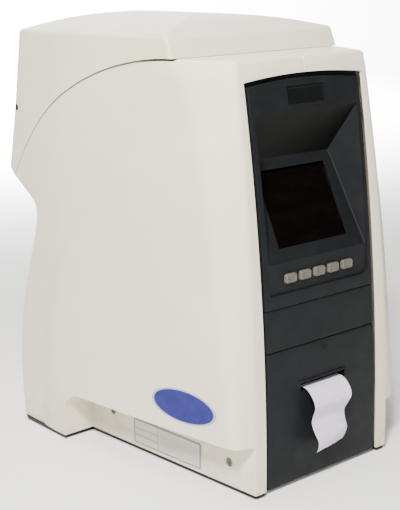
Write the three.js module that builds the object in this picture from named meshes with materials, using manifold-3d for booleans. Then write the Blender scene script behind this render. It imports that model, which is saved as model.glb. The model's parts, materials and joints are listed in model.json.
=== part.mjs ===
// A tabletop autorefractor: a motorised eye-measuring head inside a moulded casing, with the
// operator's screen, keys and slip printer on the front and the patient's brow rest at the back.
// Millimetres. +Z is up, +X is the operator's right and -Y is the operator's side.
import * as THREE from "three";
import { ConvexGeometry } from "three/addons/geometries/ConvexGeometry.js";
import { mergeVertices } from "three/addons/utils/BufferGeometryUtils.js";
import Module from "manifold-3d";

const wasm = await Module();
wasm.setup();

// ---------------------------------------------------------------- driving dimensions
// Depths run from the foot of the front face; MID_DEPTH moves the origin under the middle.
const MID_DEPTH = 177.75;
const WALL = 3; // moulded wall thickness
const FIT = 0.4; // gap between fixed neighbours
const SEAM = 0.9; // open seam between casing mouldings

const SHELF_Z = 437; // flat shelf over the operator's panel
const CREST_Z = 459; // edge where the top cover's walls turn into its crown
const CROWN = 15; // rise of the crown
const SKIRT_Z = 57.5; // lower edge of the bulging cheeks
const BASE_HALF = 100.4; // half width of the recessed base
const ARCH_DEPTH = 269; // front of the patient-side foot blocks
const ARCH_R = 27; // arch between skirt and foot block
const SHELL_FOOT_Z = 4.8; // lowest edge of the side shells
const PAN_LOW = 1.5;
const PAN_TOP = 4.5;

const PANEL_HALF = 85.2; // half width of the dark operator's panel
const PANEL_TOP = 415;
const PANEL_ARCH = 5; // rise of the panel's top edge in the middle
const SEAM_UPPER = 191.2; // between display panel and blank panel
const SEAM_LOWER = 148; // top edge of the printer door
const PANEL_SET = 1.2; // panel surface behind the white rim
const FACE_GAP = 4.8; // dark groove round the raised face, over a flange that fills the opening
const FLANGE_BACK = 8; // rear of that flange behind the panel surface

const SCREEN_W = 101.4;
const SCREEN_H = 81;
const SCREEN_LOW = [16.7, 249.6]; // depth and height of the glass's lower edge
const SCREEN_TILT = Math.atan2(37, 72.3);

const NAME_PLATE = { low: 391, high: 407.4, half: 26 };

const KEY_COUNT = 5;
const KEY_PITCH = 21;
const KEY_W = 16;
const KEY_H = 9.8;
const KEY_FRONT = 6.9; // depth of the keys' faces at rest
const KEY_Z = 219.6;
const KEY_TRAVEL = 1.2;

const SLOT_HALF = 33.7; // paper slot in the printer door
const SLOT_LOW = 98;
const SLOT_TOP = 108.5;
const PAPER_W = 57.5;

const EYE_Z = 350; // height of the measuring axis
const BROW_R = 118; // concave brow wall
const BROW_AXIS = 442; // depth of the brow wall's vertical axis
const WINDOW_HALF = 74;
const WINDOW_HIGH = 43;

// ---------------------------------------------------------------- materials
const finish = (color, roughness, metalness = 0) =>
  new THREE.MeshStandardMaterial({ color, roughness, metalness });
const IVORY = finish(0xe2dfd6, 0.42);
const CHARCOAL = finish(0x34383c, 0.55);
const DARK = finish(0x1c1d1f, 0.6);
const KEYS = finish(0xc9c7bb, 0.5);
const GLASS = finish(0x0b0a0b, 0.08);
const PAPER = finish(0xeeecf0, 0.85);
const BLUE = finish(0x4a54b0, 0.4);
const LABEL = finish(0xcfccc6, 0.5);
const RUBBER = finish(0x18181a, 0.9);
const STEEL = finish(0x8f9294, 0.35, 1);
const CAST = finish(0xa3a5a8, 0.5, 1);
const BOARD = finish(0x1f5a38, 0.6);
const PADDING = finish(0x5b6066, 0.8);

// ---------------------------------------------------------------- solids
function solid(geometry) {
  const plain = geometry.index ? geometry.toNonIndexed() : geometry.clone();
  plain.deleteAttribute("normal");
  plain.deleteAttribute("uv");
  const merged = mergeVertices(plain, 1e-3);
  return new wasm.Manifold(
    new wasm.Mesh({
      numProp: 3,
      vertProperties: merged.attributes.position.array,
      triVerts: new Uint32Array(merged.index.array),
    }),
  );
}

const joined = (first, ...rest) => rest.reduce((sum, one) => sum.add(one), first);
const less = (first, ...cuts) => cuts.reduce((left, cut) => left.subtract(cut), first);

function block(x, y, z) {
  // A box from its two ends along each axis.
  const g = new THREE.BoxGeometry(x[1] - x[0], y[1] - y[0], z[1] - z[0]);
  return solid(g.translate((x[0] + x[1]) / 2, (y[0] + y[1]) / 2, (z[0] + z[1]) / 2));
}

function rod(axis, radius, from, to, [a, b], sides = 20) {
  // A cylinder along an axis; a and b place it on the other two axes, in X, Y, Z order.
  const g = new THREE.CylinderGeometry(radius, radius, to - from, sides);
  const mid = (from + to) / 2;
  if (axis === "x") return solid(g.rotateZ(Math.PI / 2).translate(mid, a, b));
  if (axis === "y") return solid(g.translate(a, mid, b));
  return solid(g.rotateX(Math.PI / 2).translate(a, b, mid));
}

const hull = (points) => solid(new ConvexGeometry(points.map((p) => new THREE.Vector3(...p))));

function alongX(outline, half) {
  // Extrudes a depth-height outline from -half to +half across the width.
  const g = new THREE.ExtrudeGeometry(new THREE.Shape(outline), {
    depth: 2 * half,
    bevelEnabled: false,
  });
  g.translate(0, 0, -half);
  g.applyMatrix4(new THREE.Matrix4().set(0, 0, 1, 0, 1, 0, 0, 0, 0, 1, 0, 0, 0, 0, 0, 1));
  return solid(g);
}

function alongY(outline, from, to) {
  // Extrudes a width-height outline between two depths.
  const g = new THREE.ExtrudeGeometry(new THREE.Shape(outline), {
    depth: to - from,
    bevelEnabled: false,
  });
  g.rotateX(Math.PI / 2);
  return solid(g.translate(0, to, 0));
}

function roundedRect(cx, cy, halfW, halfH, r, steps = 4) {
  const points = [];
  const corners = [
    [cx + halfW - r, cy + halfH - r, 0],
    [cx - halfW + r, cy + halfH - r, 1],
    [cx - halfW + r, cy - halfH + r, 2],
    [cx + halfW - r, cy - halfH + r, 3],
  ];
  for (const [x, y, quarter] of corners)
    for (let i = 0; i <= steps; i++) {
      const a = ((quarter + i / steps) * Math.PI) / 2;
      points.push(new THREE.Vector2(x + r * Math.cos(a), y + r * Math.sin(a)));
    }
  return points;
}

function mesh(name, shape, material) {
  const made = shape.getMesh();
  const stride = made.numProp;
  const position = new Float32Array(made.numVert * 3);
  for (let i = 0; i < made.numVert; i++)
    position.set(made.vertProperties.subarray(i * stride, i * stride + 3), i * 3);
  const g = new THREE.BufferGeometry();
  g.setAttribute("position", new THREE.BufferAttribute(position, 3));
  g.setIndex(new THREE.BufferAttribute(made.triVerts, 1));
  const piece = new THREE.Mesh(g, material);
  piece.name = name;
  return piece;
}

// ---------------------------------------------------------------- casing surfaces
const between = (table, at) => {
  // Reads a value from a few [height, value] stations.
  for (let i = 1; i < table.length; i++)
    if (at <= table[i][0] || i === table.length - 1) {
      const [[z0, v0], [z1, v1]] = [table[i - 1], table[i]];
      return v0 + ((v1 - v0) * (at - z0)) / (z1 - z0);
    }
};

// The front face is a long arc, upright near the floor and leaning back at the hood.
const FRONT_R = 2440;
const FRONT_FOOT = 30;
const frontDepth = (z) => FRONT_R - Math.sqrt(FRONT_R ** 2 - (z - FRONT_FOOT) ** 2);
const rimHalf = (z) => BASE_HALF - 7 * (z / SHELF_Z) ** 2;

// Depth of the soft vertical edge between the front chamfer and the cheek.
function edgeDepth(z) {
  const rise = Math.max(0, (z - SKIRT_Z) / (SHELF_Z - SKIRT_Z));
  return 7 + 50 * rise ** 1.2 + 38 * rise ** 6;
}

// The upper walls lean in towards the front of the head, and stay upright at its back.
const lean = (y, z) =>
  8 * (Math.max(0, z - 200) / 235) ** 2 * (1 - 0.7 * THREE.MathUtils.smoothstep(y, 95, 330));

function sideHalf(y, z) {
  const flare = Math.min(y, ARCH_DEPTH);
  const beyond = Math.max(0, y - ARCH_DEPTH);
  const belly = 1.6 * Math.sin((Math.PI * (flare - 10)) / (ARCH_DEPTH - 10));
  return 123.5 + 0.0655 * (flare - 10) + belly - 0.06 * beyond - lean(y, z);
}

// Patient-side profile: foot, chest, neck under the head, and the head's end face.
const REAR = [
  [0, 364], [40, 368], [80, 368.5], [143, 358], [193, 340], [232, 325],
  [252, 319.5], [270, 324], [299, 375.5], [370, 359], [SHELF_Z, 347.5], [CREST_Z, 344.5],
];
const rearDepth = (z) => between(REAR, z);

function lowerSection(z, inset) {
  const front = frontDepth(z) + inset;
  const rim = rimHalf(z) - 0.8 * inset;
  const edge = edgeDepth(z) + 0.4 * inset;
  const rear = rearDepth(z) - inset;
  const side = (y) => sideHalf(y, z) - inset;
  const half = [[rim - 3, front], [rim, front + 2]];
  half.push([side(edge) - 3, edge - 2.5], [side(edge + 4), edge + 4]);
  for (const share of [0.25, 0.5, 0.75]) {
    const y = edge + 4 + share * (ARCH_DEPTH - edge - 4);
    half.push([side(y), y]);
  }
  half.push([side(ARCH_DEPTH), ARCH_DEPTH], [side(rear - 12), rear - 12]);
  half.push([side(rear) - 3, rear - 4], [side(rear) - 10, rear]);
  return mirrored(half);
}

function upperSection(z, inset) {
  // Above the shelf the front wall stands back; above the crest the rings shrink into the crown.
  const rise = Math.max(0, z - CREST_Z) / CROWN;
  const width = Math.sqrt(Math.max(0.05, 1 - rise));
  const front = 95 + 0.37 * (Math.min(z, CREST_Z) - 435) + inset + 60 * rise ** 1.5;
  const rear = rearDepth(Math.min(z, CREST_Z)) - inset - 20 * rise ** 1.5;
  const side = (y) => (sideHalf(y, Math.min(z, CREST_Z)) - inset) * width;
  const half = [[side(front + 6) - 8, front], [side(front + 6) - 2, front + 3]];
  for (const share of [0.04, 0.35, 0.68]) {
    const y = front + share * (rear - front);
    half.push([side(y), y]);
  }
  half.push([side(rear - 12), rear - 12], [side(rear) - 3, rear - 4], [side(rear) - 10, rear]);
  return mirrored(half);
}

const mirrored = (half) => [
  ...half.map(([x, y]) => [x, y]),
  ...half.map(([x, y]) => [-x, y]).reverse(),
];

function loft(levels, section, inset = 0) {
  const rings = levels.map((z) => section(z, inset).map(([x, y]) => [x, y, z]));
  const count = rings[0].length;
  const position = rings.flat(2);
  const index = [];
  for (let k = 0; k + 1 < rings.length; k++)
    for (let i = 0; i < count; i++) {
      const [a, b] = [k * count + i, k * count + ((i + 1) % count)];
      index.push(a, b, b + count, a, b + count, a + count);
    }
  const cap = (k, flip) => {
    const outline = rings[k].map(([x, y]) => new THREE.Vector2(x, y));
    for (const [a, b, c] of THREE.ShapeUtils.triangulateShape(outline, []))
      index.push(...(flip ? [c, b, a] : [a, b, c]).map((i) => k * count + i));
  };
  cap(0, true);
  cap(rings.length - 1, false);
  const g = new THREE.BufferGeometry();
  g.setAttribute("position", new THREE.Float32BufferAttribute(position, 3));
  g.setIndex(index);
  return solid(g);
}

const LOWER_LEVELS = [40, 80, 143, 193, 232, 252, 270, 299, 335, 370, 405];
const UPPER_LEVELS = [CREST_Z - 8, CREST_Z];
const crownLevels = (top) => [0.25, 0.5, 0.75, 0.92, 1].map((s) => CREST_Z + s * (top - CREST_Z));

// The skirt cut leaves the narrow base under the cheeks, with an arch before the foot block.
function skirtCut(margin) {
  const top = SKIRT_Z + margin;
  const back = ARCH_DEPTH + margin;
  const outline = [new THREE.Vector2(-60, -10), new THREE.Vector2(back, -10)];
  for (let i = 0; i <= 6; i++) {
    const a = (i / 6) * (Math.PI / 2);
    outline.push(
      new THREE.Vector2(back - ARCH_R + ARCH_R * Math.cos(a), top - ARCH_R + ARCH_R * Math.sin(a)),
    );
  }
  outline.push(new THREE.Vector2(-60, top));
  const inner = BASE_HALF - margin;
  const slab = alongX(outline, 160);
  return slab.subtract(block([-inner, inner], [-70, 320], [-20, 90]));
}

const browCut = (margin) =>
  rod("z", BROW_R + margin, 262 - margin, 490, [0, BROW_AXIS], 64);

const casing = less(
  joined(
    loft([PAN_LOW, ...LOWER_LEVELS, SHELF_Z], lowerSection),
    loft([425, SHELF_Z, ...UPPER_LEVELS, ...crownLevels(CREST_Z + CROWN)], upperSection),
  ),
  skirtCut(0),
  browCut(0),
);
const cavity = less(
  joined(
    loft([PAN_LOW - 5, ...LOWER_LEVELS, SHELF_Z - WALL], lowerSection, WALL),
    loft([425, SHELF_Z, ...UPPER_LEVELS, ...crownLevels(CREST_Z + CROWN - WALL)], upperSection, WALL),
  ),
  skirtCut(WALL),
  browCut(WALL),
);
const walls = casing.subtract(cavity);

// The parting line sweeps down the side as a quarter ellipse from the shelf to the head's chin.
function overParting(drop) {
  const outline = [new THREE.Vector2(92, 520), new THREE.Vector2(92, SHELF_Z + 0.6 - drop)];
  outline.push(new THREE.Vector2(95, SHELF_Z - 2 - drop));
  for (let i = 1; i <= 18; i++) {
    const a = (i / 18) * 1.32;
    outline.push(new THREE.Vector2(95 + 290 * Math.sin(a), 185 + 250 * Math.cos(a) - drop));
  }
  outline.push(new THREE.Vector2(420, 240), new THREE.Vector2(420, 520));
  return alongX(outline, 170);
}

// ---------------------------------------------------------------- operator's panel
const panelFace = (z) => frontDepth(z) + PANEL_SET;

function panelSlab(from, to, half, [near, far], steps = 8) {
  // A curved slab that follows the panel surface between two heights and two depths behind it.
  const outline = [];
  for (let i = 0; i <= steps; i++) {
    const z = from + ((to - from) * i) / steps;
    outline.push(new THREE.Vector2(panelFace(z) + near, z));
  }
  const back = outline.map(({ x, y }) => new THREE.Vector2(x - near + far, y)).reverse();
  return alongX([...outline, ...back], half);
}

function panelOpening(margin) {
  // The hole in the side shells' front wall, open at the floor and arched at the top.
  const half = PANEL_HALF + margin;
  const top = PANEL_TOP + margin;
  const outline = [new THREE.Vector2(-half, -20), new THREE.Vector2(half, -20)];
  for (let i = 0; i <= 8; i++) {
    const x = half * (1 - i / 4);
    outline.push(new THREE.Vector2(x, top + PANEL_ARCH * (1 - (x / half) ** 2)));
  }
  return alongY(outline, -30, 90);
}

function steppedPanel(from, to) {
  // A raised face with turned-back edges, and a flange behind it that fills the opening.
  const layer = (margin, depths) =>
    panelSlab(from, to, PANEL_HALF + 1, depths, 12).intersect(panelOpening(margin));
  const raised = layer(-FACE_GAP, [0, FLANGE_BACK]);
  const flange = layer(-0.5, [FLANGE_BACK - 2, FLANGE_BACK]);
  return joined(raised, flange).subtract(layer(-FACE_GAP - 2.6, [3, FLANGE_BACK + 1]));
}

// Screen recess: a funnel from the mouth to the sloping screen plane, then the key ledge.
const MOUTH_HALF = 74.5;
const MOUTH_TOP = 384;
const LEDGE_TOP = 236;
const LEDGE_LOW = 204.5;
const LEDGE_DEPTH = 10.4;
function funnel(grow, reach) {
  const corner = (half, y, z) => [
    [-half - grow, y, z],
    [half + grow, y, z],
  ];
  return hull([
    ...corner(MOUTH_HALF, 27, MOUTH_TOP + grow),
    ...corner(MOUTH_HALF, reach, MOUTH_TOP + grow),
    ...corner(MOUTH_HALF, reach, LEDGE_TOP - grow),
    ...corner(72, LEDGE_DEPTH + 0.2 + grow, LEDGE_TOP - grow),
    ...corner(60, 55 + grow, 333 + grow),
  ]);
}

function screenBlock(halfW, low, high, front, back) {
  // A box lying on the tilted screen plane: low and high run up the glass, front and back through it.
  const g = new THREE.BoxGeometry(2 * halfW, back - front, high - low);
  g.translate(0, (front + back) / 2, (low + high) / 2);
  g.rotateX(-SCREEN_TILT);
  return solid(g.translate(0, SCREEN_LOW[0], SCREEN_LOW[1]));
}

const keyX = (i) => (i - (KEY_COUNT - 1) / 2) * KEY_PITCH;
const keyOutline = (i, grow) =>
  roundedRect(keyX(i), KEY_Z, KEY_W / 2 + grow, KEY_H / 2 + grow, 2.6 + grow);

function displayPanel() {
  const skin = steppedPanel(SEAM_UPPER + 0.4, PANEL_TOP + PANEL_ARCH);
  const ledgeOut = block([-78, 78], [8, 13.4], [LEDGE_LOW - 3, LEDGE_TOP + 3]);
  const pocket = funnel(2.5, 16).intersect(panelSlab(200, 392, PANEL_HALF, [0, 60], 12));
  const ledgeVoid = alongY(
    roundedRect(0, LEDGE_LOW + 20, MOUTH_HALF, 20, 7), -30, LEDGE_DEPTH,
  );
  const glassHole = screenBlock(SCREEN_W / 2, 0, SCREEN_H, -12, 12);
  const keyHoles = [...Array(KEY_COUNT).keys()].map((i) => alongY(keyOutline(i, 0.45), 0, 30));
  const { low, high, half } = NAME_PLATE;
  const plateBed = panelSlab(low - 0.4, high + 0.4, half + 0.4, [-3, 1.9]);
  const shape = joined(skin, ledgeOut, pocket);
  return less(shape, funnel(0, -40), ledgeVoid, glassHole, plateBed, ...keyHoles);
}

function key(i) {
  const cap = alongY(keyOutline(i, 0), KEY_FRONT, 15.5);
  const stem = block([keyX(i) - 3, keyX(i) + 3], [15.4, 19.2], [KEY_Z - 2.5, KEY_Z + 2.5]);
  return joined(cap, stem);
}

function keyBoard() {
  const plate = block([-60, 60], [22.6, 24.2], [KEY_Z - 11, KEY_Z + 9]);
  const caps = [...Array(KEY_COUNT).keys()].map((i) =>
    block([keyX(i) - 3.5, keyX(i) + 3.5], [20.8, 23], [KEY_Z - 3.5, KEY_Z + 3.5]),
  );
  return joined(plate, ...caps);
}

// ---------------------------------------------------------------- printer
const HINGE = [4.8, 8.7]; // depth and height of the door's hinge line
function printerDoor() {
  const skin = steppedPanel(PAN_TOP + 0.6, SEAM_LOWER - 0.4);
  const slot = block([-SLOT_HALF, SLOT_HALF], [-20, 20], [SLOT_LOW, SLOT_TOP]);
  const eye = (x) => rod("x", 3.4, x - 7, x + 7, HINGE, 16);
  const web = (x) => block([x - 7, x + 7], [2.6, 7], [6.2, 12]);
  const bore = rod("x", 1.7, -90, 90, HINGE, 16);
  return less(joined(skin, eye(-62), eye(62), web(-62), web(62)), slot, bore);
}

function hingeRod() {
  return joined(
    rod("x", 1.5, -78, 78, HINGE, 16),
    ...[-44, 44].map((x) =>
      joined(
        block([x - 6, x + 6], [HINGE[0], HINGE[0] + 9], [HINGE[1], HINGE[1] + 3]),
        block([x - 6, x + 6], [HINGE[0] + 5, HINGE[0] + 9], [PAN_TOP + 0.3, HINGE[1] + 3]),
      ),
    ),
  );
}

// A slip of paper that leaves the slot, bows out and hangs in two shallow waves.
function paperSlip() {
  const line = new THREE.SplineCurve(
    [[9, 102.5], [2, 102], [-5, 97], [-11, 87], [-11.5, 74], [-13, 61], [-18, 48], [-19.5, 35]].map(
      ([y, z]) => new THREE.Vector2(y, z),
    ),
  );
  const near = line.getPoints(26);
  const far = near.map((p, i) => {
    const ahead = near[Math.min(i + 1, near.length - 1)];
    const behind = near[Math.max(i - 1, 0)];
    const along = ahead.clone().sub(behind).normalize();
    return new THREE.Vector2(p.x + 0.5 * along.y, p.y - 0.5 * along.x);
  });
  return alongX([...near, ...far.reverse()], PAPER_W / 2);
}

const ROLL = [64, 46]; // depth and height of the paper roll's axis
const ROLL_R = 24;
const PLATEN = [24, 98];
const PLATEN_R = 7;
const GEAR_X = [36, 41];
const PINION = [PLATEN[0], PLATEN[1] - 17.4];
function gear(centre, pitchR, teeth, turn) {
  // A spur gear whose teeth are plain trapezia about the pitch circle.
  const outline = [];
  const step = (2 * Math.PI) / teeth;
  for (let i = 0; i < teeth; i++)
    for (const [share, r] of [[-0.24, -1.15], [-0.11, 0.9], [0.11, 0.9], [0.24, -1.15]]) {
      const a = turn + (i + share) * step;
      outline.push(
        new THREE.Vector2(
          centre[0] + (pitchR + r) * Math.cos(a),
          centre[1] + (pitchR + r) * Math.sin(a),
        ),
      );
    }
  const g = alongX(outline, (GEAR_X[1] - GEAR_X[0]) / 2);
  return g.translate([(GEAR_X[0] + GEAR_X[1]) / 2, 0, 0]);
}

function printerFrame() {
  const cheek = (x) =>
    joined(
      block([x, x + 2], [14, 92], [8, 112]),
    );
  const floor = block([-35, 35], [30, 92], [8, 10]);
  const back = block([-35, 35], [90, 92], [8, 112]);
  const bar = block([-35, 35], [44, 60], [108, 112]);
  const body = joined(cheek(-35), cheek(33), floor, back, bar);
  const feet = joined(
    block([-35, -22], [60, 88], [PAN_TOP + 0.3, 9]),
    block([22, 35], [60, 88], [PAN_TOP + 0.3, 9]),
  );
  return less(
    joined(body, feet),
    rod("x", 2.9, -40, 40, PLATEN, 16),
    rod("x", 2.9, -40, 40, ROLL, 16),
    rod("x", 2.5, 30, 40, PINION, 16),
  );
}

// ---------------------------------------------------------------- measuring head
// Three stacked slides carry the head: across (x), towards the patient (y) and up (z).
const STAGE_MID = 215;
const RAIL_SPAN = 44; // half the distance between the cross rails
function crossGuide() {
  const rail = (y) => block([-88, 88], [y - 4.5, y + 4.5], [PAN_TOP + 0.3, 13]);
  const tie = (x) => block([x - 4, x + 4], [STAGE_MID - 48.5, STAGE_MID + 48.5], [PAN_TOP + 0.3, 9]);
  const stand = block([80, 88], [STAGE_MID + 40, STAGE_MID + 84], [PAN_TOP + 0.3, 26]);
  const bed = joined(rail(STAGE_MID - RAIL_SPAN), rail(STAGE_MID + RAIL_SPAN), tie(-84), tie(84), stand);
  return less(bed, rod("x", 3.4, 70, 100, [STAGE_MID + 76, 20], 16));
}

function crossCarriage() {
  const shoe = (x, y) =>
    less(
      block([x - 12, x + 12], [y - 9, y + 9], [8, 18]),
      block([x - 13, x + 13], [y - 5.1, y + 5.1], [4, 13.6]),
    );
  const shoes = [-28, 28].flatMap((x) =>
    [STAGE_MID - RAIL_SPAN, STAGE_MID + RAIL_SPAN].map((y) => shoe(x, y)),
  );
  const plate = block([-42, 42], [STAGE_MID - 56, STAGE_MID + 56], [17, 22]);
  const rails = [-30, 30].map((x) => block([x - 4, x + 4], [STAGE_MID - 54, STAGE_MID + 54], [21, 30]));
  const arm = less(
    block([-8, 8], [STAGE_MID + 50, STAGE_MID + 84], [14, 26]),
    rod("x", 3.4, -20, 20, [STAGE_MID + 76, 20], 16),
  );
  const bracket = less(
    block([-20, 20], [STAGE_MID + 50, STAGE_MID + 54], [21, 58]),
    rod("y", 3.4, STAGE_MID + 40, STAGE_MID + 60, [0, 36.5], 16),
  );
  return joined(plate, ...shoes, ...rails, arm, bracket);
}

const COLUMN = [STAGE_MID - 22, STAGE_MID + 18];
function depthCarriage() {
  const shoe = (x, y) =>
    less(
      block([x - 8, x + 8], [y - 10, y + 10], [24, 35]),
      block([x - 4.6, x + 4.6], [y - 11, y + 11], [20, 30.6]),
    );
  const shoes = [-30, 30].flatMap((x) => [STAGE_MID - 28, STAGE_MID + 12].map((y) => shoe(x, y)));
  const plate = block([-40, 40], [STAGE_MID - 40, STAGE_MID + 24], [42, 47]);
  const pads = [-30, 30].map((x) => block([x - 8, x + 8], [STAGE_MID - 40, STAGE_MID + 24], [34, 43]));
  const nut = less(
    block([-8, 8], [STAGE_MID + 2, STAGE_MID + 24], [31, 43]),
    rod("y", 3.4, STAGE_MID - 60, STAGE_MID + 60, [0, 36.5], 16),
  );
  const post = less(
    block([-22, 22], COLUMN, [46, 262]),
    block([-17, 17], [COLUMN[0] + 5, COLUMN[1] + 5], [50, 270]),
  );
  const shelf = less(
    block([-12, 12], [COLUMN[0] - 26, COLUMN[0] + 1], [120, 124]),
    rod("z", 3.4, 110, 130, [0, COLUMN[0] - 16], 16),
  );
  return joined(plate, ...pads, ...shoes, nut, post, shelf);
}

function liftSlide() {
  const wrap = less(
    block([-30, 30], [COLUMN[0] - 10, COLUMN[1] + 1], [190, 300]),
    block([-22.5, 22.5], [COLUMN[0] - 0.5, COLUMN[1] + 3], [180, 299]),
  );
  const nut = less(
    block([-10, 10], [COLUMN[0] - 26, COLUMN[0] - 9], [190, 206]),
    rod("z", 3.4, 180, 216, [0, COLUMN[0] - 16], 16),
  );
  const tray = less(
    block([-46, 46], [STAGE_MID - 72, STAGE_MID + 68], [299, EYE_Z + 30]),
    block([-42, 42], [STAGE_MID - 68, STAGE_MID + 64], [316, EYE_Z + 40]),
    rod("y", BORE_R, STAGE_MID + 60, STAGE_MID + 80, [0, EYE_Z], 24),
  );
  const flange = joined(
    block([-52, -45], [STAGE_MID + 58, STAGE_MID + 68], [304, EYE_Z + 26]),
    block([45, 52], [STAGE_MID + 58, STAGE_MID + 68], [304, EYE_Z + 26]),
  );
  return joined(wrap, nut, tray, flange);
}

function lathe(profile, segments = 40) {
  // Turns a radius-depth profile about the measuring axis.
  const g = new THREE.LatheGeometry(profile.map(([r, y]) => new THREE.Vector2(r, y)), segments);
  return solid(g.translate(0, 0, EYE_Z));
}

// The nose: a barrel on the bench's front wall, its objective lens and a ring of lights.
const NOSE_ROOT = STAGE_MID + 68.4;
const NOSE_TIP = 334;
const NOSE_R = 21;
const BORE_R = 14.5;
const LENS_R = 16.5;
const RING_R = 25;
const noseBarrel = () =>
  lathe([
    [BORE_R, NOSE_ROOT], [30, NOSE_ROOT], [30, NOSE_ROOT + 4], [NOSE_R + 4, NOSE_ROOT + 6],
    [NOSE_R, NOSE_TIP - 12], [NOSE_R, NOSE_TIP], [LENS_R + 0.5, NOSE_TIP], [LENS_R + 0.5, NOSE_TIP - 9],
    [BORE_R, NOSE_TIP - 10], [BORE_R, NOSE_ROOT],
  ], 32);

function objectiveLens() {
  const [back, thick, bulge] = [NOSE_TIP - 8.6, 4, 2.2];
  const profile = [[0, back], [LENS_R, back], [LENS_R, back + thick - bulge]];
  for (let i = 1; i <= 4; i++) {
    const x = LENS_R * (1 - i / 4);
    profile.push([x, back + thick - bulge + bulge * (1 - (x / LENS_R) ** 2)]);
  }
  return lathe(profile, 32);
}

const ringLight = () =>
  lathe([
    [NOSE_R + 0.4, NOSE_TIP - 6], [RING_R, NOSE_TIP - 6], [RING_R, NOSE_TIP + 1],
    [RING_R - 2.5, NOSE_TIP + 2.5], [BORE_R + 1, NOSE_TIP + 2.5], [BORE_R + 1, NOSE_TIP + 0.4],
    [NOSE_R + 0.4, NOSE_TIP + 0.4], [NOSE_R + 0.4, NOSE_TIP - 6],
  ], 32);

function beamSplitter() {
  const g = new THREE.BoxGeometry(44, 2, 46);
  g.rotateX(Math.PI / 4);
  const plate = solid(g.translate(0, STAGE_MID + 30, EYE_Z));
  const foot = block([-20, 20], [STAGE_MID + 40, STAGE_MID + 52], [316.4, 336]);
  return joined(plate, foot);
}

function sensorBoard() {
  return joined(
    block([-30, 30], [STAGE_MID - 62, STAGE_MID - 60], [318, EYE_Z + 26]),
    block([-10, 10], [STAGE_MID - 60.5, STAGE_MID - 54], [EYE_Z - 10, EYE_Z + 10]),
    block([-24, 24], [STAGE_MID - 66, STAGE_MID - 59], [316.4, 322]),
  );
}

// ---------------------------------------------------------------- patient's side
function arcSlab(inner, outer, half, from, to, steps = 14) {
  // A slab bent about the brow wall's axis, spanning plus and minus half an angle.
  const outline = [];
  for (let i = 0; i <= steps; i++) {
    const a = -half + (2 * half * i) / steps;
    outline.push([inner * Math.sin(a), BROW_AXIS - inner * Math.cos(a)]);
  }
  for (let i = steps; i >= 0; i--) {
    const a = -half + (2 * half * i) / steps;
    outline.push([outer * Math.sin(a), BROW_AXIS - outer * Math.cos(a)]);
  }
  const g = new THREE.ExtrudeGeometry(
    new THREE.Shape(outline.map(([x, y]) => new THREE.Vector2(x, y)).reverse()),
    { depth: to - from, bevelEnabled: false },
  );
  return solid(g.translate(0, 0, from));
}

const STEM_X = 34;
const PAD_BACK = BROW_R - 4.2; // radius of the pad's rear face, clear of the wall for its travel
function browPad() {
  const pad = arcSlab(PAD_BACK - 9, PAD_BACK, 0.62, 409, 447);
  const stems = [-STEM_X, STEM_X].map((x) => rod("y", 3, 318, 334, [x, 428], 16));
  return joined(pad, ...stems);
}
const stemHoles = [-STEM_X, STEM_X].map((x) => rod("y", 3.6, 300, 345, [x, 428], 16));

const windowShape = (grow) =>
  alongY(roundedRect(0, EYE_Z, WINDOW_HALF + grow, WINDOW_HIGH + grow, 14 + grow), 300, 400);

function windowLiner() {
  // A black frame that lines the eye window and hides the casing's cut edge.
  const sleeve = windowShape(-0.4).subtract(windowShape(-3));
  const run = arcSlab(BROW_R - 0.8, BROW_R + 12, 0.78, EYE_Z - 60, EYE_Z + 60);
  const flange = windowShape(4).subtract(windowShape(-3));
  const behind = arcSlab(BROW_R + WALL + 0.5, BROW_R + WALL + 3, 0.82, EYE_Z - 60, EYE_Z + 60);
  return joined(sleeve.intersect(run), flange.intersect(behind));
}

const INLET = [52, 46]; // width and height of the mains inlet's centre
const ROCKER = [86, 46];
const powerCuts = [
  block([INLET[0] - 14.2, INLET[0] + 14.2], [340, 380], [INLET[1] - 10.7, INLET[1] + 10.7]),
  block([ROCKER[0] - 8.2, ROCKER[0] + 8.2], [340, 380], [ROCKER[1] - 11.2, ROCKER[1] + 11.2]),
];

function powerInlet() {
  const can = block([INLET[0] - 13.7, INLET[0] + 13.7], [336, 368.5], [INLET[1] - 10.2, INLET[1] + 10.2]);
  const socket = block([INLET[0] - 11, INLET[0] + 11], [350, 380], [INLET[1] - 7.5, INLET[1] + 7.5]);
  const blade = (x, z) => block([x - 1, x + 1], [349, 364], [z - 2.5, z + 2.5]);
  const blades = [blade(INLET[0] - 7, 44), blade(INLET[0], 49), blade(INLET[0] + 7, 44)];
  return joined(can.subtract(socket), ...blades);
}

function switchHousing() {
  const can = block([ROCKER[0] - 7.7, ROCKER[0] + 7.7], [338, 368.5], [ROCKER[1] - 10.7, ROCKER[1] + 10.7]);
  const well = block([ROCKER[0] - 6.2, ROCKER[0] + 6.2], [354, 380], [ROCKER[1] - 9.2, ROCKER[1] + 9.2]);
  return can.subtract(well);
}

const ROCKER_AXIS = [363, ROCKER[1]]; // depth and height
const ROCKER_TIP = THREE.MathUtils.degToRad(8);
function rocker() {
  // A shallow vee that rests tipped to its off side.
  const vee = [[-5.5, 4], [3, 8], [6.6, 8], [4.2, 0], [6.6, -8], [3, -8], [-5.5, -4]];
  const axle = new THREE.Vector2();
  const outline = vee.map(([y, z]) => new THREE.Vector2(y, z).rotateAround(axle, ROCKER_TIP));
  return alongX(outline.reverse(), 5.8).translate([ROCKER[0], ...ROCKER_AXIS]);
}

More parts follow.
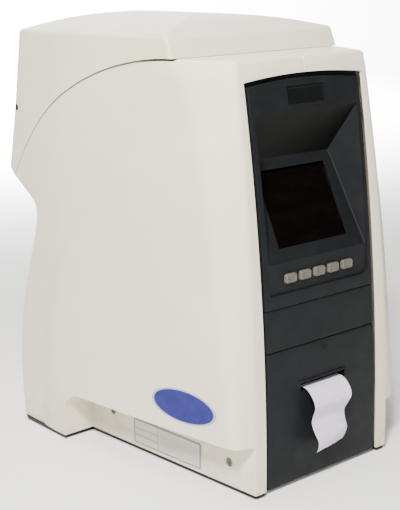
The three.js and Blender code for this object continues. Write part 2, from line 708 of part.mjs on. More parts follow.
// ---------------------------------------------------------------- base and fasteners
const SCREWS = [[39.4, 30], [230, 35.4]]; // depth and height on each side of the base
const SCREW_SEAT = BASE_HALF - 1.8; // floor of each counterbore
function screwAt(side, at) {
  const span = (near, far) => (side > 0 ? [near, far] : [-far, -near]);
  const head = rod("x", 4.4, ...span(SCREW_SEAT + 0.3, SCREW_SEAT + 1.6), at, 24);
  const socket = rod("x", 2, ...span(SCREW_SEAT + 0.8, SCREW_SEAT + 4), at, 6);
  const shank = rod("x", 2, ...span(SCREW_SEAT - 9.6, SCREW_SEAT + 0.6), at, 12);
  return less(joined(head, shank), socket);
}
const screwHoles = SCREWS.flatMap(([y, z]) => [
  rod("x", 2.4, -110, 110, [y, z], 16),
  rod("x", 4.9, SCREW_SEAT, 112, [y, z], 24),
  rod("x", 4.9, -112, -SCREW_SEAT, [y, z], 24),
]);

const PLUG = [350, 371.5]; // depth and height of the blind plugs in the head's sides
const plugHole = rod("x", 4.1, -160, 160, PLUG, 20);
const plugAt = (side) => {
  const face = sideHalf(PLUG[0], PLUG[1]);
  const [a, b] = side > 0 ? [face - 6, face + 0.6] : [-face - 0.6, -face + 6];
  return rod("x", 3.7, a, b, PLUG, 20);
};

function basePan() {
  const section = (z) => lowerSection(z, 0.8);
  const plate = less(
    loft([PAN_LOW, PAN_TOP], section),
    skirtCut(0.8),
    block([-PANEL_HALF - 2, PANEL_HALF + 2], [-10, 10.5], [0, 10]),
  );
  const flange = (x) => block([x - 1.2, x + 1.2], [20, 255], [PAN_TOP - 1, 46]);
  const holes = SCREWS.map((at) => rod("x", 2.3, -110, 110, at, 12));
  return less(joined(plate, flange(-94.6), flange(94.6)), ...holes);
}

function chassis() {
  // A sheet-metal bulkhead between the operator's modules and the measuring stage.
  const wall = block([-84, 84], [124, 127], [PAN_TOP + 0.3, 330]);
  const foot = block([-84, 84], [110, 127], [PAN_TOP + 0.3, 7.5]);
  const gusset = (x) => block([x - 1.2, x + 1.2], [96, 126], [PAN_TOP + 0.3, 330]);
  const window = block([-60, 60], [100, 140], [150, 210]);
  const crown = block([-60, 60], [100, 140], [300, 360]);
  return less(joined(wall, foot, gusset(-82.6), gusset(82.6)), window, crown);
}

// ---------------------------------------------------------------- badge and labels
function badge() {
  // An oval plate on the operator's left cheek.
  const [y, z, halfL, halfH] = [77, 88, 45, 19];
  const outline = [];
  for (let i = 0; i < 36; i++) {
    const a = (i / 36) * 2 * Math.PI;
    outline.push(new THREE.Vector2(y + halfL * Math.cos(a), z + halfH * Math.sin(a)));
  }
  const plate = alongX(outline, 160);
  const skin = loft([PAN_LOW, ...LOWER_LEVELS, SHELF_Z], lowerSection, -1.1);
  const under = loft([PAN_LOW, ...LOWER_LEVELS, SHELF_Z], lowerSection, -0.35);
  return plate.intersect(skin.subtract(under)).intersect(block([-200, 0], [0, 400], [0, 400]));
}

const ratingLabel = () =>
  block([-BASE_HALF - 0.9, -BASE_HALF - 0.35], [82, 192], [9, 37]);

// ---------------------------------------------------------------- electronic modules
function displayModule() {
  const frame = screenBlock(60, -8, SCREEN_H + 8, 6.5, 16);
  const tube = screenBlock(44, 8, SCREEN_H - 12, 15.5, 58);
  return joined(frame, tube);
}

function printHead() {
  return joined(
    block([-30, 30], [31.6, 35], [90, 106]),
    block([-30, 30], [34.6, 42], [100, 106]),
  );
}

function platen() {
  const rubber = rod("x", PLATEN_R, -29.5, 29.5, PLATEN, 28);
  const axle = rod("x", 2.5, -37, 40.5, PLATEN, 16);
  return joined(rubber, axle, gear(PLATEN, 11.6, 24, 0));
}

function pinion() {
  return joined(gear(PINION, 5.8, 12, Math.PI / 12), rod("x", 2, 32.8, 42, PINION, 12));
}

function printerMotor() {
  return block([8, 32.4], [PINION[0] - 9, PINION[0] + 9], [PINION[1] - 9, PINION[1] + 9]);
}

function paperRoll() {
  const paper = less(rod("x", ROLL_R, -PAPER_W / 2, PAPER_W / 2, ROLL, 40), rod("x", 6, -40, 40, ROLL, 24));
  const core = rod("x", 6.1, -PAPER_W / 2, PAPER_W / 2, ROLL, 24);
  return joined(paper, core, rod("x", 2.5, -34.6, 34.6, ROLL, 16));
}

function mainBoard() {
  const plate = block([-88, -86], [134, 260], [56, 220]);
  const chips = [[150, 80], [190, 90], [225, 150], [160, 170]].map(([y, z]) =>
    block([-86.5, -80], [y, y + 22], [z, z + 22]),
  );
  return joined(plate, ...chips);
}

function browSwitch() {
  return joined(
    block([-STEM_X - 8, STEM_X + 8], [306, 310], [420, 436]),
    block([-STEM_X - 5, -STEM_X + 5], [309.5, 314], [423, 433]),
    block([STEM_X - 5, STEM_X + 5], [309.5, 314], [423, 433]),
  );
}

// ---------------------------------------------------------------- assembly
const instrument = new THREE.Group();
const body = new THREE.Group();
body.position.y = -MID_DEPTH;
instrument.add(body);
const put = (name, shape, material) => body.add(mesh(name, shape, material));

const lowerWalls = less(
  walls.subtract(overParting(0)),
  block([-200, 200], [-50, 500], [-20, SHELL_FOOT_Z]),
  panelOpening(0.5),
  ...screwHoles,
  plugHole,
  windowShape(0),
  ...powerCuts,
);
const halfSpace = (side) =>
  side > 0
    ? block([0.2, 200], [-60, 500], [-20, 520])
    : block([-200, -0.2], [-60, 500], [-20, 520]);
const topWalls = less(
  walls.intersect(overParting(-SEAM)),
  windowShape(0),
  plugHole,
  ...stemHoles,
);

put("left_side_shell", lowerWalls.intersect(halfSpace(-1)), IVORY);
put("right_side_shell", lowerWalls.intersect(halfSpace(1)), IVORY);
put("top_cover", topWalls, IVORY);
put("base_pan", basePan(), DARK);
for (const [name, x, y] of [
  ["foot_front_left", -80, 22],
  ["foot_front_right", 80, 22],
  ["foot_rear_left", -104, 318],
  ["foot_rear_right", 104, 318],
])
  put(name, rod("z", 12, 0, PAN_LOW - 0.3, [x, y], 24), RUBBER);

put("display_panel", displayPanel(), CHARCOAL);
put("blank_panel", steppedPanel(SEAM_LOWER + 0.4, SEAM_UPPER - 0.4), CHARCOAL);
put(
  "name_plate",
  panelSlab(NAME_PLATE.low, NAME_PLATE.high, NAME_PLATE.half, [-0.5, 1.6], 4),
  DARK,
);
put("display_glass", screenBlock(SCREEN_W / 2 - 0.4, 0.4, SCREEN_H - 0.4, -0.2, 2.4), GLASS);
put("display_module", displayModule(), DARK);
put("key_board", keyBoard(), BOARD);
for (let i = 0; i < KEY_COUNT; i++) put(`key_${i + 1}`, key(i), KEYS);

put("printer_door", printerDoor(), CHARCOAL);
put("door_hinge_rod", hingeRod(), STEEL);
put("paper_slip", paperSlip(), PAPER);
put("printer_frame", printerFrame(), DARK);
put("print_head", printHead(), STEEL);
put("platen_roller", platen(), RUBBER);
put("printer_motor", printerMotor(), STEEL);
put("motor_pinion", pinion(), KEYS);
put("paper_roll", paperRoll(), PAPER);

put("chassis_bulkhead", chassis(), STEEL);
put("main_board", mainBoard(), BOARD);
put("power_supply", block([58, 88], [134, 246], [54, 120]), STEEL);
put("power_inlet", powerInlet(), DARK);
put("switch_housing", switchHousing(), DARK);
put("power_rocker", rocker(), DARK);

put("cross_guide", crossGuide(), STEEL);
put("cross_motor", block([-92, -55], [STAGE_MID + 62, STAGE_MID + 92], [PAN_TOP + 0.3, 36]), DARK);
put("cross_screw", rod("x", 3, -54.6, 86, [STAGE_MID + 76, 20], 16), STEEL);
put("cross_carriage", crossCarriage(), CAST);
put("depth_motor", block([-16, 16], [STAGE_MID + 54.4, STAGE_MID + 78], [26.4, 56]), DARK);
put("depth_screw", rod("y", 3, STAGE_MID - 44, STAGE_MID + 54, [0, 36.5], 16), STEEL);
put("depth_carriage", depthCarriage(), CAST);
put("lift_motor", block([-15, 15], [COLUMN[0] - 34, COLUMN[0] - 4], [88, 119.6]), DARK);
put("lift_screw", rod("z", 3, 120, 262, [0, COLUMN[0] - 16], 16), STEEL);
put("optical_bench", liftSlide(), CAST);
put("nose_barrel", noseBarrel(), DARK);
put("objective_lens", objectiveLens(), GLASS);
put("ring_light", ringLight(), KEYS);
put("beam_splitter", beamSplitter(), GLASS);
put("sensor_board", sensorBoard(), BOARD);

put("window_liner", windowLiner(), DARK);
put("brow_pad", browPad(), PADDING);
put("brow_switch", browSwitch(), DARK);
put("badge", badge(), BLUE);
put("rating_label", ratingLabel(), LABEL);
for (const [name, side, at] of [
  ["screw_left_front", -1, SCREWS[0]],
  ["screw_left_rear", -1, SCREWS[1]],
  ["screw_right_front", 1, SCREWS[0]],
  ["screw_right_rear", 1, SCREWS[1]],
])
  put(name, screwAt(side, at), STEEL);
put("plug_left", plugAt(-1), RUBBER);
put("plug_right", plugAt(1), RUBBER);

export default instrument;
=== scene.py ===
# %% [markdown]
# # Autorefractor on a pale studio floor
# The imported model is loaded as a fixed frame. Each cell then makes one piece or one finish of
# the instrument around it: the moulded casing, the dark operator's panel with its screen, keys
# and slip printer, and the small fittings. Lengths are metres, +Z is up, +X is the operator's
# right, and the operator sits on the -Y side.

import json
import math

import bmesh
import bpy
from mathutils import Matrix, Vector

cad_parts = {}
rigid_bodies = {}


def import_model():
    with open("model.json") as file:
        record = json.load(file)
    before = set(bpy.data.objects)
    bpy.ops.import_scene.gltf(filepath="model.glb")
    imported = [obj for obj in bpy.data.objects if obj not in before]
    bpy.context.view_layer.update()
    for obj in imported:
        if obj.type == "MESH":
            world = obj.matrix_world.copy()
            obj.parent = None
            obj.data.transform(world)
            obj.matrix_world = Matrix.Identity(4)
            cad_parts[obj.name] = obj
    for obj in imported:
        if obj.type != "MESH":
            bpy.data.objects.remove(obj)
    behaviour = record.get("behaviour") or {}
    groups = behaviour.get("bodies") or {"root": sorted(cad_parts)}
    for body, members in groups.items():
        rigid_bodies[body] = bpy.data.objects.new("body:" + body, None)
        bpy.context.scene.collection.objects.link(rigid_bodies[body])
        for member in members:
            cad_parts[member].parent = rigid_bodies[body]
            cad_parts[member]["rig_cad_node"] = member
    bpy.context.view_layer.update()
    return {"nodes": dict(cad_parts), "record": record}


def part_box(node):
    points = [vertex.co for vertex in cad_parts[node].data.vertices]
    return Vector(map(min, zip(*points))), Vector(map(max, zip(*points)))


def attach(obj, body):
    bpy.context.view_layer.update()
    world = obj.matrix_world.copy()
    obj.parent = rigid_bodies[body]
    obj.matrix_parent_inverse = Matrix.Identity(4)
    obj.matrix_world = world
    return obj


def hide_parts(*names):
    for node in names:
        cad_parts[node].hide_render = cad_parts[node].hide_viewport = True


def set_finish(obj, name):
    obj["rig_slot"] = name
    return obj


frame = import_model()
node = frame["nodes"]
MM = 0.001
casing_low, casing_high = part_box("left_side_shell")
FRONT = casing_low.y  # depth of the foot of the front face
print("side shell is", round(casing_high.z / MM), "mm high; front foot at y =", round(FRONT, 4))

# %% [markdown]
# ## Camera
# A long lens looks slightly down on the left front corner of the instrument, as a catalogue
# picture does. Its place is counted from the foot of the front face.

# %% Camera
VIEW_TURN = 0.7331  # radians to the right of straight ahead
VIEW_DROP = 0.2355  # radians below level
VIEW_ROLL = -0.0132
LENS = 88.52  # mm
SENSOR = 36
STAND_X, STAND_Y, STAND_Z = -0.92255, -0.83332, 0.53612
camera_data = bpy.data.cameras.new("camera")
camera_data.sensor_width = SENSOR
camera_data.lens = LENS
camera = bpy.data.objects.new("camera", camera_data)
bpy.context.scene.collection.objects.link(camera)
ahead = Vector(
    (
        math.sin(VIEW_TURN) * math.cos(VIEW_DROP),
        math.cos(VIEW_TURN) * math.cos(VIEW_DROP),
        -math.sin(VIEW_DROP),
    )
)
camera.location = Vector((STAND_X, FRONT + STAND_Y, STAND_Z))
camera.rotation_mode = "QUATERNION"
level = ahead.to_track_quat("-Z", "Y")
camera.rotation_quaternion = level @ Matrix.Rotation(VIEW_ROLL, 3, "Z").to_quaternion()
bpy.context.scene.camera = camera
print("camera is", round(camera.location.length, 3), "m from the origin")

# %% [markdown]
# ## Light
# Five soft round lamps stand about the instrument: a bright key from the left, a small one beside
# the camera that picks out rounded edges, a weak warm fill from the right, a glow from above, and
# a strong one aimed past the instrument at the backdrop, so that it stays pale.


# %% Lights
def soft_light(name, place, target, size, power, colour):
    """A round area light at a place, turned towards a target."""
    data = bpy.data.lights.new(name, "AREA")
    data.shape = "DISK"
    data.size = size
    data.energy = power
    data.color = colour
    lamp = bpy.data.objects.new(name, data)
    bpy.context.scene.collection.objects.link(lamp)
    lamp.location = place
    lamp.rotation_mode = "QUATERNION"
    lamp.rotation_quaternion = (Vector(target) - Vector(place)).to_track_quat("-Z", "Y")


soft_light("key_light", (-1.15, -0.95, 1.55), (0, 0, 0.3), 0.4, 106, (1, 0.97, 0.92))
soft_light("front_light", (-0.95, -1.15, 0.72), (0, -0.1, 0.3), 0.16, 7, (1, 0.98, 0.95))
soft_light("fill_light", (2.0, 0.0, 1.0), (0, 0, 0.2), 1.2, 0.6, (1, 0.9, 0.75))
soft_light("top_light", (-0.3, 0.3, 1.9), (0, 0.05, 0.2), 0.9, 34, (1, 1, 1))
soft_light("back_light", (1.4, 2.2, 1.6), (1.6, 3.0, 0.6), 2.0, 1500, (1, 1, 1))

world = bpy.data.worlds.new("studio")
world.use_nodes = True
sky = world.node_tree.nodes["Background"].inputs
sky["Color"].default_value = (0.95, 0.96, 1, 1)
sky["Strength"].default_value = 0.17
bpy.context.scene.world = world

# %% [markdown]
# ## Floor
# The floor is one large plane whose far edge is extruded upwards. A wide bevel of the fold then
# turns it into the swept paper of a studio table, square to the camera.

# %% Floor
SWEEP_AT = 1  # the backdrop's fold lies beyond this depth
bpy.ops.object.select_all(action="DESELECT")
bpy.ops.mesh.primitive_plane_add(size=9, location=(0, 0, 0))
floor = bpy.context.object
floor.name = "floor"
bpy.ops.object.mode_set(mode="EDIT")
bpy.ops.mesh.select_all(action="DESELECT")
sheet = bmesh.from_edit_mesh(floor.data)
for edge in sheet.edges:
    edge.select = all(v.co.y > SWEEP_AT for v in edge.verts)
bmesh.update_edit_mesh(floor.data)
bpy.ops.mesh.extrude_region_move(TRANSFORM_OT_translate={"value": (0, 0, 5)})
sheet = bmesh.from_edit_mesh(floor.data)
for edge in sheet.edges:
    edge.select = all(v.co.y > SWEEP_AT and v.co.z < 1 for v in edge.verts)
bmesh.update_edit_mesh(floor.data)
bpy.ops.mesh.bevel(offset=1.6, segments=16)
bpy.ops.object.mode_set(mode="OBJECT")
bpy.ops.object.shade_smooth()
floor.rotation_euler.z = -VIEW_TURN
bpy.ops.object.transform_apply(location=True, rotation=True, scale=True)
paper_white = bpy.data.materials.new("studio_paper")
paper_white.use_nodes = True
backdrop = paper_white.node_tree.nodes["Principled BSDF"].inputs
backdrop["Base Color"].default_value = (0.72, 0.72, 0.72, 1)
backdrop["Roughness"].default_value = 0.9
floor.data.materials.append(paper_white)
print("floor has", len(floor.data.polygons), "faces")

# %% [markdown]
# ## Writing a finish as an expression
# Every finish below is a small calculation on the place of a point of the surface. The class
# `Val` wraps one socket of the node tree, so that `1 - dust * 0.4` adds the Math nodes by itself.
# Colours go through `mix`, because a Math node would turn them grey.


# %% Expressions on sockets
class Val:
    def __init__(self, tree, socket):
        self.tree = tree
        self.socket = socket

    def _math(self, operation, other, swap=False, clamp=False):
        made = self.tree.nodes.new("ShaderNodeMath")
        made.operation = operation
        made.use_clamp = clamp
        for place, value in zip((1, 0) if swap else (0, 1), (self, other)):
            if isinstance(value, Val):
                self.tree.links.new(value.socket, made.inputs[place])
            else:
                made.inputs[place].default_value = value
        return Val(self.tree, made.outputs[0])

    def __add__(self, other):
        return self._math("ADD", other)

    __radd__ = __add__

    def __sub__(self, other):
        return self._math("SUBTRACT", other)

    def __rsub__(self, other):
        return self._math("SUBTRACT", other, swap=True)

    def __mul__(self, other):
        return self._math("MULTIPLY", other)

    __rmul__ = __mul__

    def __truediv__(self, other):
        return self._math("DIVIDE", other)

    def __rtruediv__(self, other):
        return self._math("DIVIDE", other, swap=True)

    def __lt__(self, other):
        return self._math("LESS_THAN", other)

    def __gt__(self, other):
        return self._math("GREATER_THAN", other)

    def power(self, exponent):
        return self._math("POWER", exponent)

    def clamped(self):
        return self._math("ADD", 0, clamp=True)


class Finish:
    """One material: a Principled shader, and the nodes that feed it."""

    def __init__(self, name, roughness=0.5, **constants):
        self.material = bpy.data.materials.new(name)
        self.material.use_nodes = True
        self.tree = self.material.node_tree
        self.shader = self.tree.nodes["Principled BSDF"]
        self.shader.inputs["Roughness"].default_value = roughness
        for socket, value in constants.items():
            self.shader.inputs[socket.replace("_", " ")].default_value = value
        self.place = self.node("ShaderNodeTexCoord", out="Object")

    def join(self, inputs, sockets):
        """Links calculated values to their sockets and writes plain ones; i6 is socket number 6."""
        for name, value in sockets.items():
            by_number = name[0] == "i" and name[1:].isdigit()
            target = inputs[int(name[1:]) if by_number else name.replace("_", " ")]
            if isinstance(value, Val):
                self.tree.links.new(value.socket, target)
            else:
                target.default_value = value

    def node(self, kind, settings=None, out=0, **sockets):
        """Any other node: its settings are set first, then its sockets."""
        made = self.tree.nodes.new(kind)
        for name, value in (settings or {}).items():
            setattr(made, name, value)
        self.join(made.inputs, sockets)
        return Val(self.tree, made.outputs[out])

    def noise(self, scale, detail=2.0, roughness=0.5, at=None):
        return self.node(
            "ShaderNodeTexNoise",
            Vector=at or self.place,
            Scale=scale,
            Detail=detail,
            Roughness=roughness,
        )

    def stretched(self, factors):
        settings = {"vector_type": "POINT"}
        return self.node("ShaderNodeMapping", settings, Vector=self.place, Scale=factors)

    def axis(self, name):
        return self.node("ShaderNodeSeparateXYZ", out="XYZ".index(name), Vector=self.place)

    def step(self, value, low, high):
        """0 below low, 1 above high, and smooth between."""
        return self.node(
            "ShaderNodeMapRange",
            {"interpolation_type": "SMOOTHSTEP"},
            Value=value,
            From_Min=low,
            From_Max=high,
        )

    def mix(self, first, second, share):
        return self.node(
            "ShaderNodeMix", {"data_type": "RGBA"}, out=2, i0=share, i6=first, i7=second
        )

    def facing_up(self):
        """1 on faces turned up, 0 on upright ones and -1 on those turned down."""
        normal = self.node("ShaderNodeNewGeometry", out="Normal")
        return self.node("ShaderNodeSeparateXYZ", out=2, Vector=normal)

    def feed(self, **sockets):
        self.join(self.shader.inputs, sockets)

    def bump(self, height, distance, strength=1.0):
        self.feed(
            Normal=self.node(
                "ShaderNodeBump", Height=height, Distance=distance, Strength=strength
            )
        )


def paint(piece, finish):
    """Gives a piece one finish all over."""
    piece.data.materials.clear()
    piece.data.materials.append(finish.material)


print("finish helpers ready")

# %% [markdown]
# ## Solids from outlines
# Most mouldings here are a section that changes from height to height. A filled circle is added,
# its corners are put on the section, and the face is extruded ring by ring, each new ring being
# put on the next section: the same moves as by hand, with the places worked out. Cuts are made
# with Boolean modifiers, and small fittings are primitives shaped with extrude, inset and bevel.


# %% Modelling helpers
def at(x, y, z):
    """A place from millimetres: x from the middle, y from the front foot, z from the table."""
    return Vector((x * MM, FRONT + y * MM, z * MM))


def start(kind, **settings):
    """Adds a primitive with nothing else selected."""
    if bpy.context.object and bpy.context.object.mode != "OBJECT":
        bpy.ops.object.mode_set(mode="OBJECT")
    bpy.ops.object.select_all(action="DESELECT")
    getattr(bpy.ops.mesh, f"primitive_{kind}_add")(**settings)
    return bpy.context.object


def settle(piece, name=None, angle=30):
    """Leaves the piece at the origin with its place in its mesh, merged and facing outwards."""
    bpy.ops.object.select_all(action="DESELECT")
    piece.select_set(True)
    bpy.context.view_layer.objects.active = piece
    bpy.ops.object.transform_apply(location=True, rotation=True, scale=True)
    bpy.ops.object.mode_set(mode="EDIT")
    bpy.ops.mesh.select_all(action="SELECT")
    bpy.ops.mesh.remove_doubles(threshold=0.00002)
    bpy.ops.mesh.normals_make_consistent(inside=False)
    bpy.ops.object.mode_set(mode="OBJECT")
    bpy.ops.object.shade_smooth_by_angle(angle=math.radians(angle))
    if name:
        piece.name = name
    return piece


def loft(rings, name="loft"):
    """A closed solid through rings of the same number of points."""
    piece = start("circle", vertices=len(rings[0]), radius=1, fill_type="NGON")
    bpy.ops.object.mode_set(mode="EDIT")
    bpy.ops.mesh.select_all(action="SELECT")
    shape = bmesh.from_edit_mesh(piece.data)
    shape.faces.ensure_lookup_table()
    for vertex, place in zip(shape.faces[0].verts, rings[0]):
        vertex.co = place
    for before, ring in zip(rings, rings[1:]):
        where = {tuple(round(c, 7) for c in place): i for i, place in enumerate(before)}
        bmesh.update_edit_mesh(piece.data)
        bpy.ops.mesh.extrude_region_move()
        shape = bmesh.from_edit_mesh(piece.data)
        for vertex in shape.verts:
            if vertex.select:
                vertex.co = ring[where[tuple(round(c, 7) for c in vertex.co)]]
    bmesh.update_edit_mesh(piece.data)
    bpy.ops.object.mode_set(mode="OBJECT")
    return settle(piece, name)


def prism(outline, sweep):
    """An outline of places, swept once along a vector."""
    ring = [Vector(place) for place in outline]
    return loft([ring, [place + Vector(sweep) for place in ring]], "prism")


def apply(piece, kind, **settings):
    """Adds a modifier with its settings and applies it at once."""
    made = piece.modifiers.new(kind.lower(), kind)
    for name, value in settings.items():
        setattr(made, name, value)
    bpy.ops.object.select_all(action="DESELECT")
    bpy.context.view_layer.objects.active = piece
    piece.select_set(True)
    bpy.ops.object.modifier_apply(modifier=made.name)
    return piece


def combine(piece, tool, operation="DIFFERENCE", keep=False):
    """Cuts the piece with a tool, or joins them, and throws the tool away."""
    apply(piece, "BOOLEAN", operation=operation, object=tool, solver="MANIFOLD")
    if not keep:
        bpy.data.objects.remove(tool)
    return piece


def copy_of(piece, name):
    """A copy with a mesh of its own."""
    made = piece.copy()
    made.data = piece.data.copy()
    made.name = name
    bpy.context.scene.collection.objects.link(made)
    return made


def rounded(points, cuts, steps=5):
    """Points of an open line with each inner corner eased, starting a cut's length before it."""
    line = [Vector(points[0])]
    for before, corner, after, cut in zip(points, points[1:], points[2:], cuts):
        before, corner, after = Vector(before), Vector(corner), Vector(after)
        into = corner + (before - corner) * min(0.48, cut / max((before - corner).length, 1e-6))
        out = corner + (after - corner) * min(0.48, cut / max((after - corner).length, 1e-6))
        for i in range(steps + 1):
            t = i / steps
            line.append((1 - t) ** 2 * into + 2 * t * (1 - t) * corner + t**2 * out)
    line.append(Vector(points[-1]))
    return line


def smooth(value, low, high):
    """0 below low, 1 above high, and smooth between, as a plain number."""
    t = max(0.0, min(1.0, (value - low) / (high - low)))
    return t * t * (3 - 2 * t)


def read(line, height):
    """The depth of a line of (height, depth) points at a height."""
    for (z0, y0), (z1, y1) in zip(line, line[1:]):
        if height <= z1:
            return y0 + (y1 - y0) * max(0.0, (height - z0)) / max(z1 - z0, 1e-9)
    return line[-1][1]


def round_steps(count):
    """The cosine and sine of each step round a circle."""
    return [(math.cos(k / count * math.tau), math.sin(k / count * math.tau)) for k in range(count)]


def ride_all(pieces, body, slot):
    """Hangs pieces on a moving body and names their material slot."""
    for piece in pieces:
        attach(piece, body)
        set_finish(piece, slot)


print("places are counted from the front foot at y =", round(at(0, 0, 0).y, 4))


# %% [markdown]
# ## The casing's shape
# The casing is a tall moulding with an upright, slightly arched front, cheeks that bulge past a
# narrow base, and a head that overhangs the patient's side. Its plan at any height is one line
# with four eased corners: the rim beside the panel, the long soft edge between the front chamfer
# and the cheek, the turn towards the back, and the back corner. A raised field on each cheek is
# bounded by a broad superellipse.

# %% Casing section
SHELF = 437  # height of the flat shelf above the panel, mm
CREST = 459  # height at which the cover's dome starts
CROWN = 15  # rise of the dome above that
SPINE = (190, 305)  # the dome's ridge runs between these depths
ARCH = 269  # depth at which the cheek turns in towards the back
EASE = 5  # rounding of the shelf's edge
FRONT_RADIUS = 2440  # the front face leans back along an arc this wide
back_line = rounded(
    [
        (0, 364), (40, 368), (80, 368.5), (143, 358), (193, 340), (232, 325), (252, 319.5),
        (268, 322), (299, 375), (370, 359), (437, 347.5), (520, 335),
    ],
    [18, 18, 24, 20, 16, 9, 8, 4, 20, 20],
)


def front_at(z):
    """The depth of the front face at a height."""
    return FRONT_RADIUS - math.sqrt(FRONT_RADIUS**2 - (z - 30) ** 2)


def edge_at(z):
    """The depth of the long soft edge between the front chamfer and the cheek."""
    rise = max(0, (z - 57.5) / (SHELF - 57.5))
    return 7 + 50 * rise**1.2 + 38 * rise**6


def side_at(y, z):
    """The half width at a depth and height: it flares to the back and leans in at the top."""
    flare = min(y, ARCH) - 10
    belly = 1.6 * math.sin(math.pi * flare / (ARCH - 10))
    lean = 8 * (max(0, z - 200) / 235) ** 2 * (1 - 0.7 * smooth(y, 95, 330))
    return 123.5 + 0.0655 * flare + belly - 0.06 * max(0, y - ARCH) - lean


def cheek_drop(y, z):
    """How far the side stands back outside the raised field of the cheek."""
    field = abs((y - 10) / 303) ** 2.2 + abs(z / 365) ** 2.2
    return 2.8 * smooth(field, 0.95, 1.04)


def plan(z, inset=0.0, crown=False):
    """The casing's half plan at a height, from the front's middle round to the back's."""
    low = min(z, CREST)
    rear = read(back_line, low) - inset
    if crown:
        front = 95 + 0.37 * (low - 435) + inset
        edge = front
        rim = side_at(front, low) - inset - 0.01
        corners = [(0, front), (rim * 0.5, front), (rim - 1, front), (rim + 1, front + 3)]
        cuts = [0, 7, 3]
    else:
        front = front_at(z) + inset
        edge = edge_at(z) + 0.4 * inset
        rim = 100.4 - 7 * (z / SHELF) ** 2 - 0.8 * inset
        corners = [(0, front), (rim * 0.5, front), (rim, front), (side_at(edge, low) - inset, edge)]
        cuts = [0, 4, 15]
    stations = [(edge + (ARCH - edge) * k / 12, 5) for k in range(1, 12)]
    for y, cut in [*stations, (ARCH, 24), ((ARCH + rear) / 2, 5), (rear, 10)]:
        corners.append((side_at(y, low) - inset, y))
        cuts.append(cut)
    corners.append((0, rear))
    shaped = []
    for x, y in rounded(corners, cuts, 4):
        if y >= ARCH:
            share = x / side_at(y, low)
        elif crown:
            share = 1
        else:
            share = smooth(x, rim, side_at(edge, low))
        shaped.append((x - share * cheek_drop(y, z), y))
    return shaped


def ring(half, z):
    """A whole level of the casing from its half plan."""
    right = [at(x, y, z) for x, y in half]
    return right + [at(-x, y, z) for x, y in reversed(half[1:-1])]


def shrunk(half, by):
    """The plan pulled towards the dome's ridge by a share."""
    made = []
    for x, y in half:
        spine = max(SPINE[0], min(SPINE[1], y))
        made.append((x * (1 - by), y + (spine - y) * by))
    return made


def lower_solid(inset=0.0):
    """The casing up to its shelf, inset by a wall's thickness or grown by a negative one."""
    levels = [1.5 + inset * 0.4] + [6 + 8 * k for k in range(52)]
    rings = [ring(plan(z, inset), z) for z in levels]
    top = SHELF - inset
    for k in range(1, 6):
        turn = math.pi / 2 * k / 5
        z = top - EASE + EASE * math.sin(turn)
        rings.append(ring(plan(z, inset + EASE * (1 - math.cos(turn))), z))
    return loft(rings)


def upper_solid(inset=0.0):
    """The head with its domed cover, which starts inside the lower casing."""
    levels = [262 + 8 * k for k in range(24)]
    rings = [ring(plan(z, inset, crown=True), z) for z in levels]
    ease = 4
    top = CREST - inset
    for k in range(6):
        turn = math.pi / 2 * k / 6
        z = top - ease + ease * math.sin(turn)
        rings.append(ring(plan(z, inset + ease * (1 - math.cos(turn)), crown=True), z))
    base = plan(top, inset + ease, crown=True)
    rise = CREST + CROWN - inset - top
    for share in (0.06, 0.16, 0.28, 0.42, 0.57, 0.72, 0.86, 0.96):
        z = top + rise * (1 - (1 - share) ** 2.1)
        rings.append(ring(shrunk(base, share), z))
    return loft(rings)


outer = lower_solid(0)
hollow = lower_solid(3)
print("casing solid has", len(outer.data.polygons), "faces")

# %% [markdown]
# ## Cutting the casing into its mouldings
# The real casing is two side shells that meet down the middle and a cover over the head. Tools
# as wide as the instrument make the undercut below the cheeks, the panel's opening and the
# sweeping parting line; a thin tongue behind the parting gap keeps light out, as it does on the
# real mouldings, and its dark colour is painted shade of the gap.


# %% Cutting tools
BROW_Y, BROW_RADIUS = 442, 118  # the forehead's hollow
PLUG_Y, PLUG_Z = 350, 371.5  # blind plugs in the head's sides


def side_tool(outline, half=160):
    """A side-view outline of (y, z) swept across the whole width."""
    return prism([at(-half, y, z) for y, z in outline], (2 * half * MM, 0, 0))


def arc_outline(drop):
    """The parting line seen from the side, lowered by some millimetres."""
    line = [(92, SHELF + 0.6 - drop), (95, SHELF - 2 - drop)]
    for i in range(1, 49):
        turn = i / 48 * 1.32
        line.append((95 + 290 * math.sin(turn), 185 + 250 * math.cos(turn) - drop))
    return line


def over_parting(drop):
    """All that lies above the parting line."""
    return side_tool([(92, 520), *arc_outline(drop), (420, 240), (420, 520)], 170)


def skirt_tool(grow=0.0):
    """What is cut away below the cheeks on both sides of the base."""
    top = 57.5 + grow
    back = ARCH + grow
    outline = [(-60, -10), (back, -10)]
    for i in range(13):
        turn = i / 12 * math.pi / 2
        outline.append((back - 27 + 27 * math.cos(turn), top - 27 + 27 * math.sin(turn)))
    outline.append((-60, top))
    cut = side_tool(outline)
    inner = 100.4 - grow
    core = start("cube", size=1, location=at(0, 130, 30))
    core.scale = (2 * inner * MM, 0.4, 0.1)
    return combine(cut, settle(core))


def opening_tool(grow, splay=0):
    """The operator's opening, with its arched top; it can widen towards the floor."""
    half, top = 85.2 + grow, 415 + grow
    outline = [at(-half - splay, -30, -20), at(half + splay, -30, -20), at(half, -30, 230)]
    for i in range(17):
        x = half * (1 - i / 8)
        outline.append(at(x, -30, top + 5 * (1 - (x / half) ** 2)))
    outline.append(at(-half, -30, 230))
    return prism(outline, (0, 0.12, 0))


def brow_tool(grow):
    """The upright hollow in the head's back that a forehead leans into."""
    place = at(0, BROW_Y, 382)
    radius = (BROW_RADIUS + grow) * MM
    return settle(start("cylinder", vertices=128, radius=radius, depth=0.24, location=place))


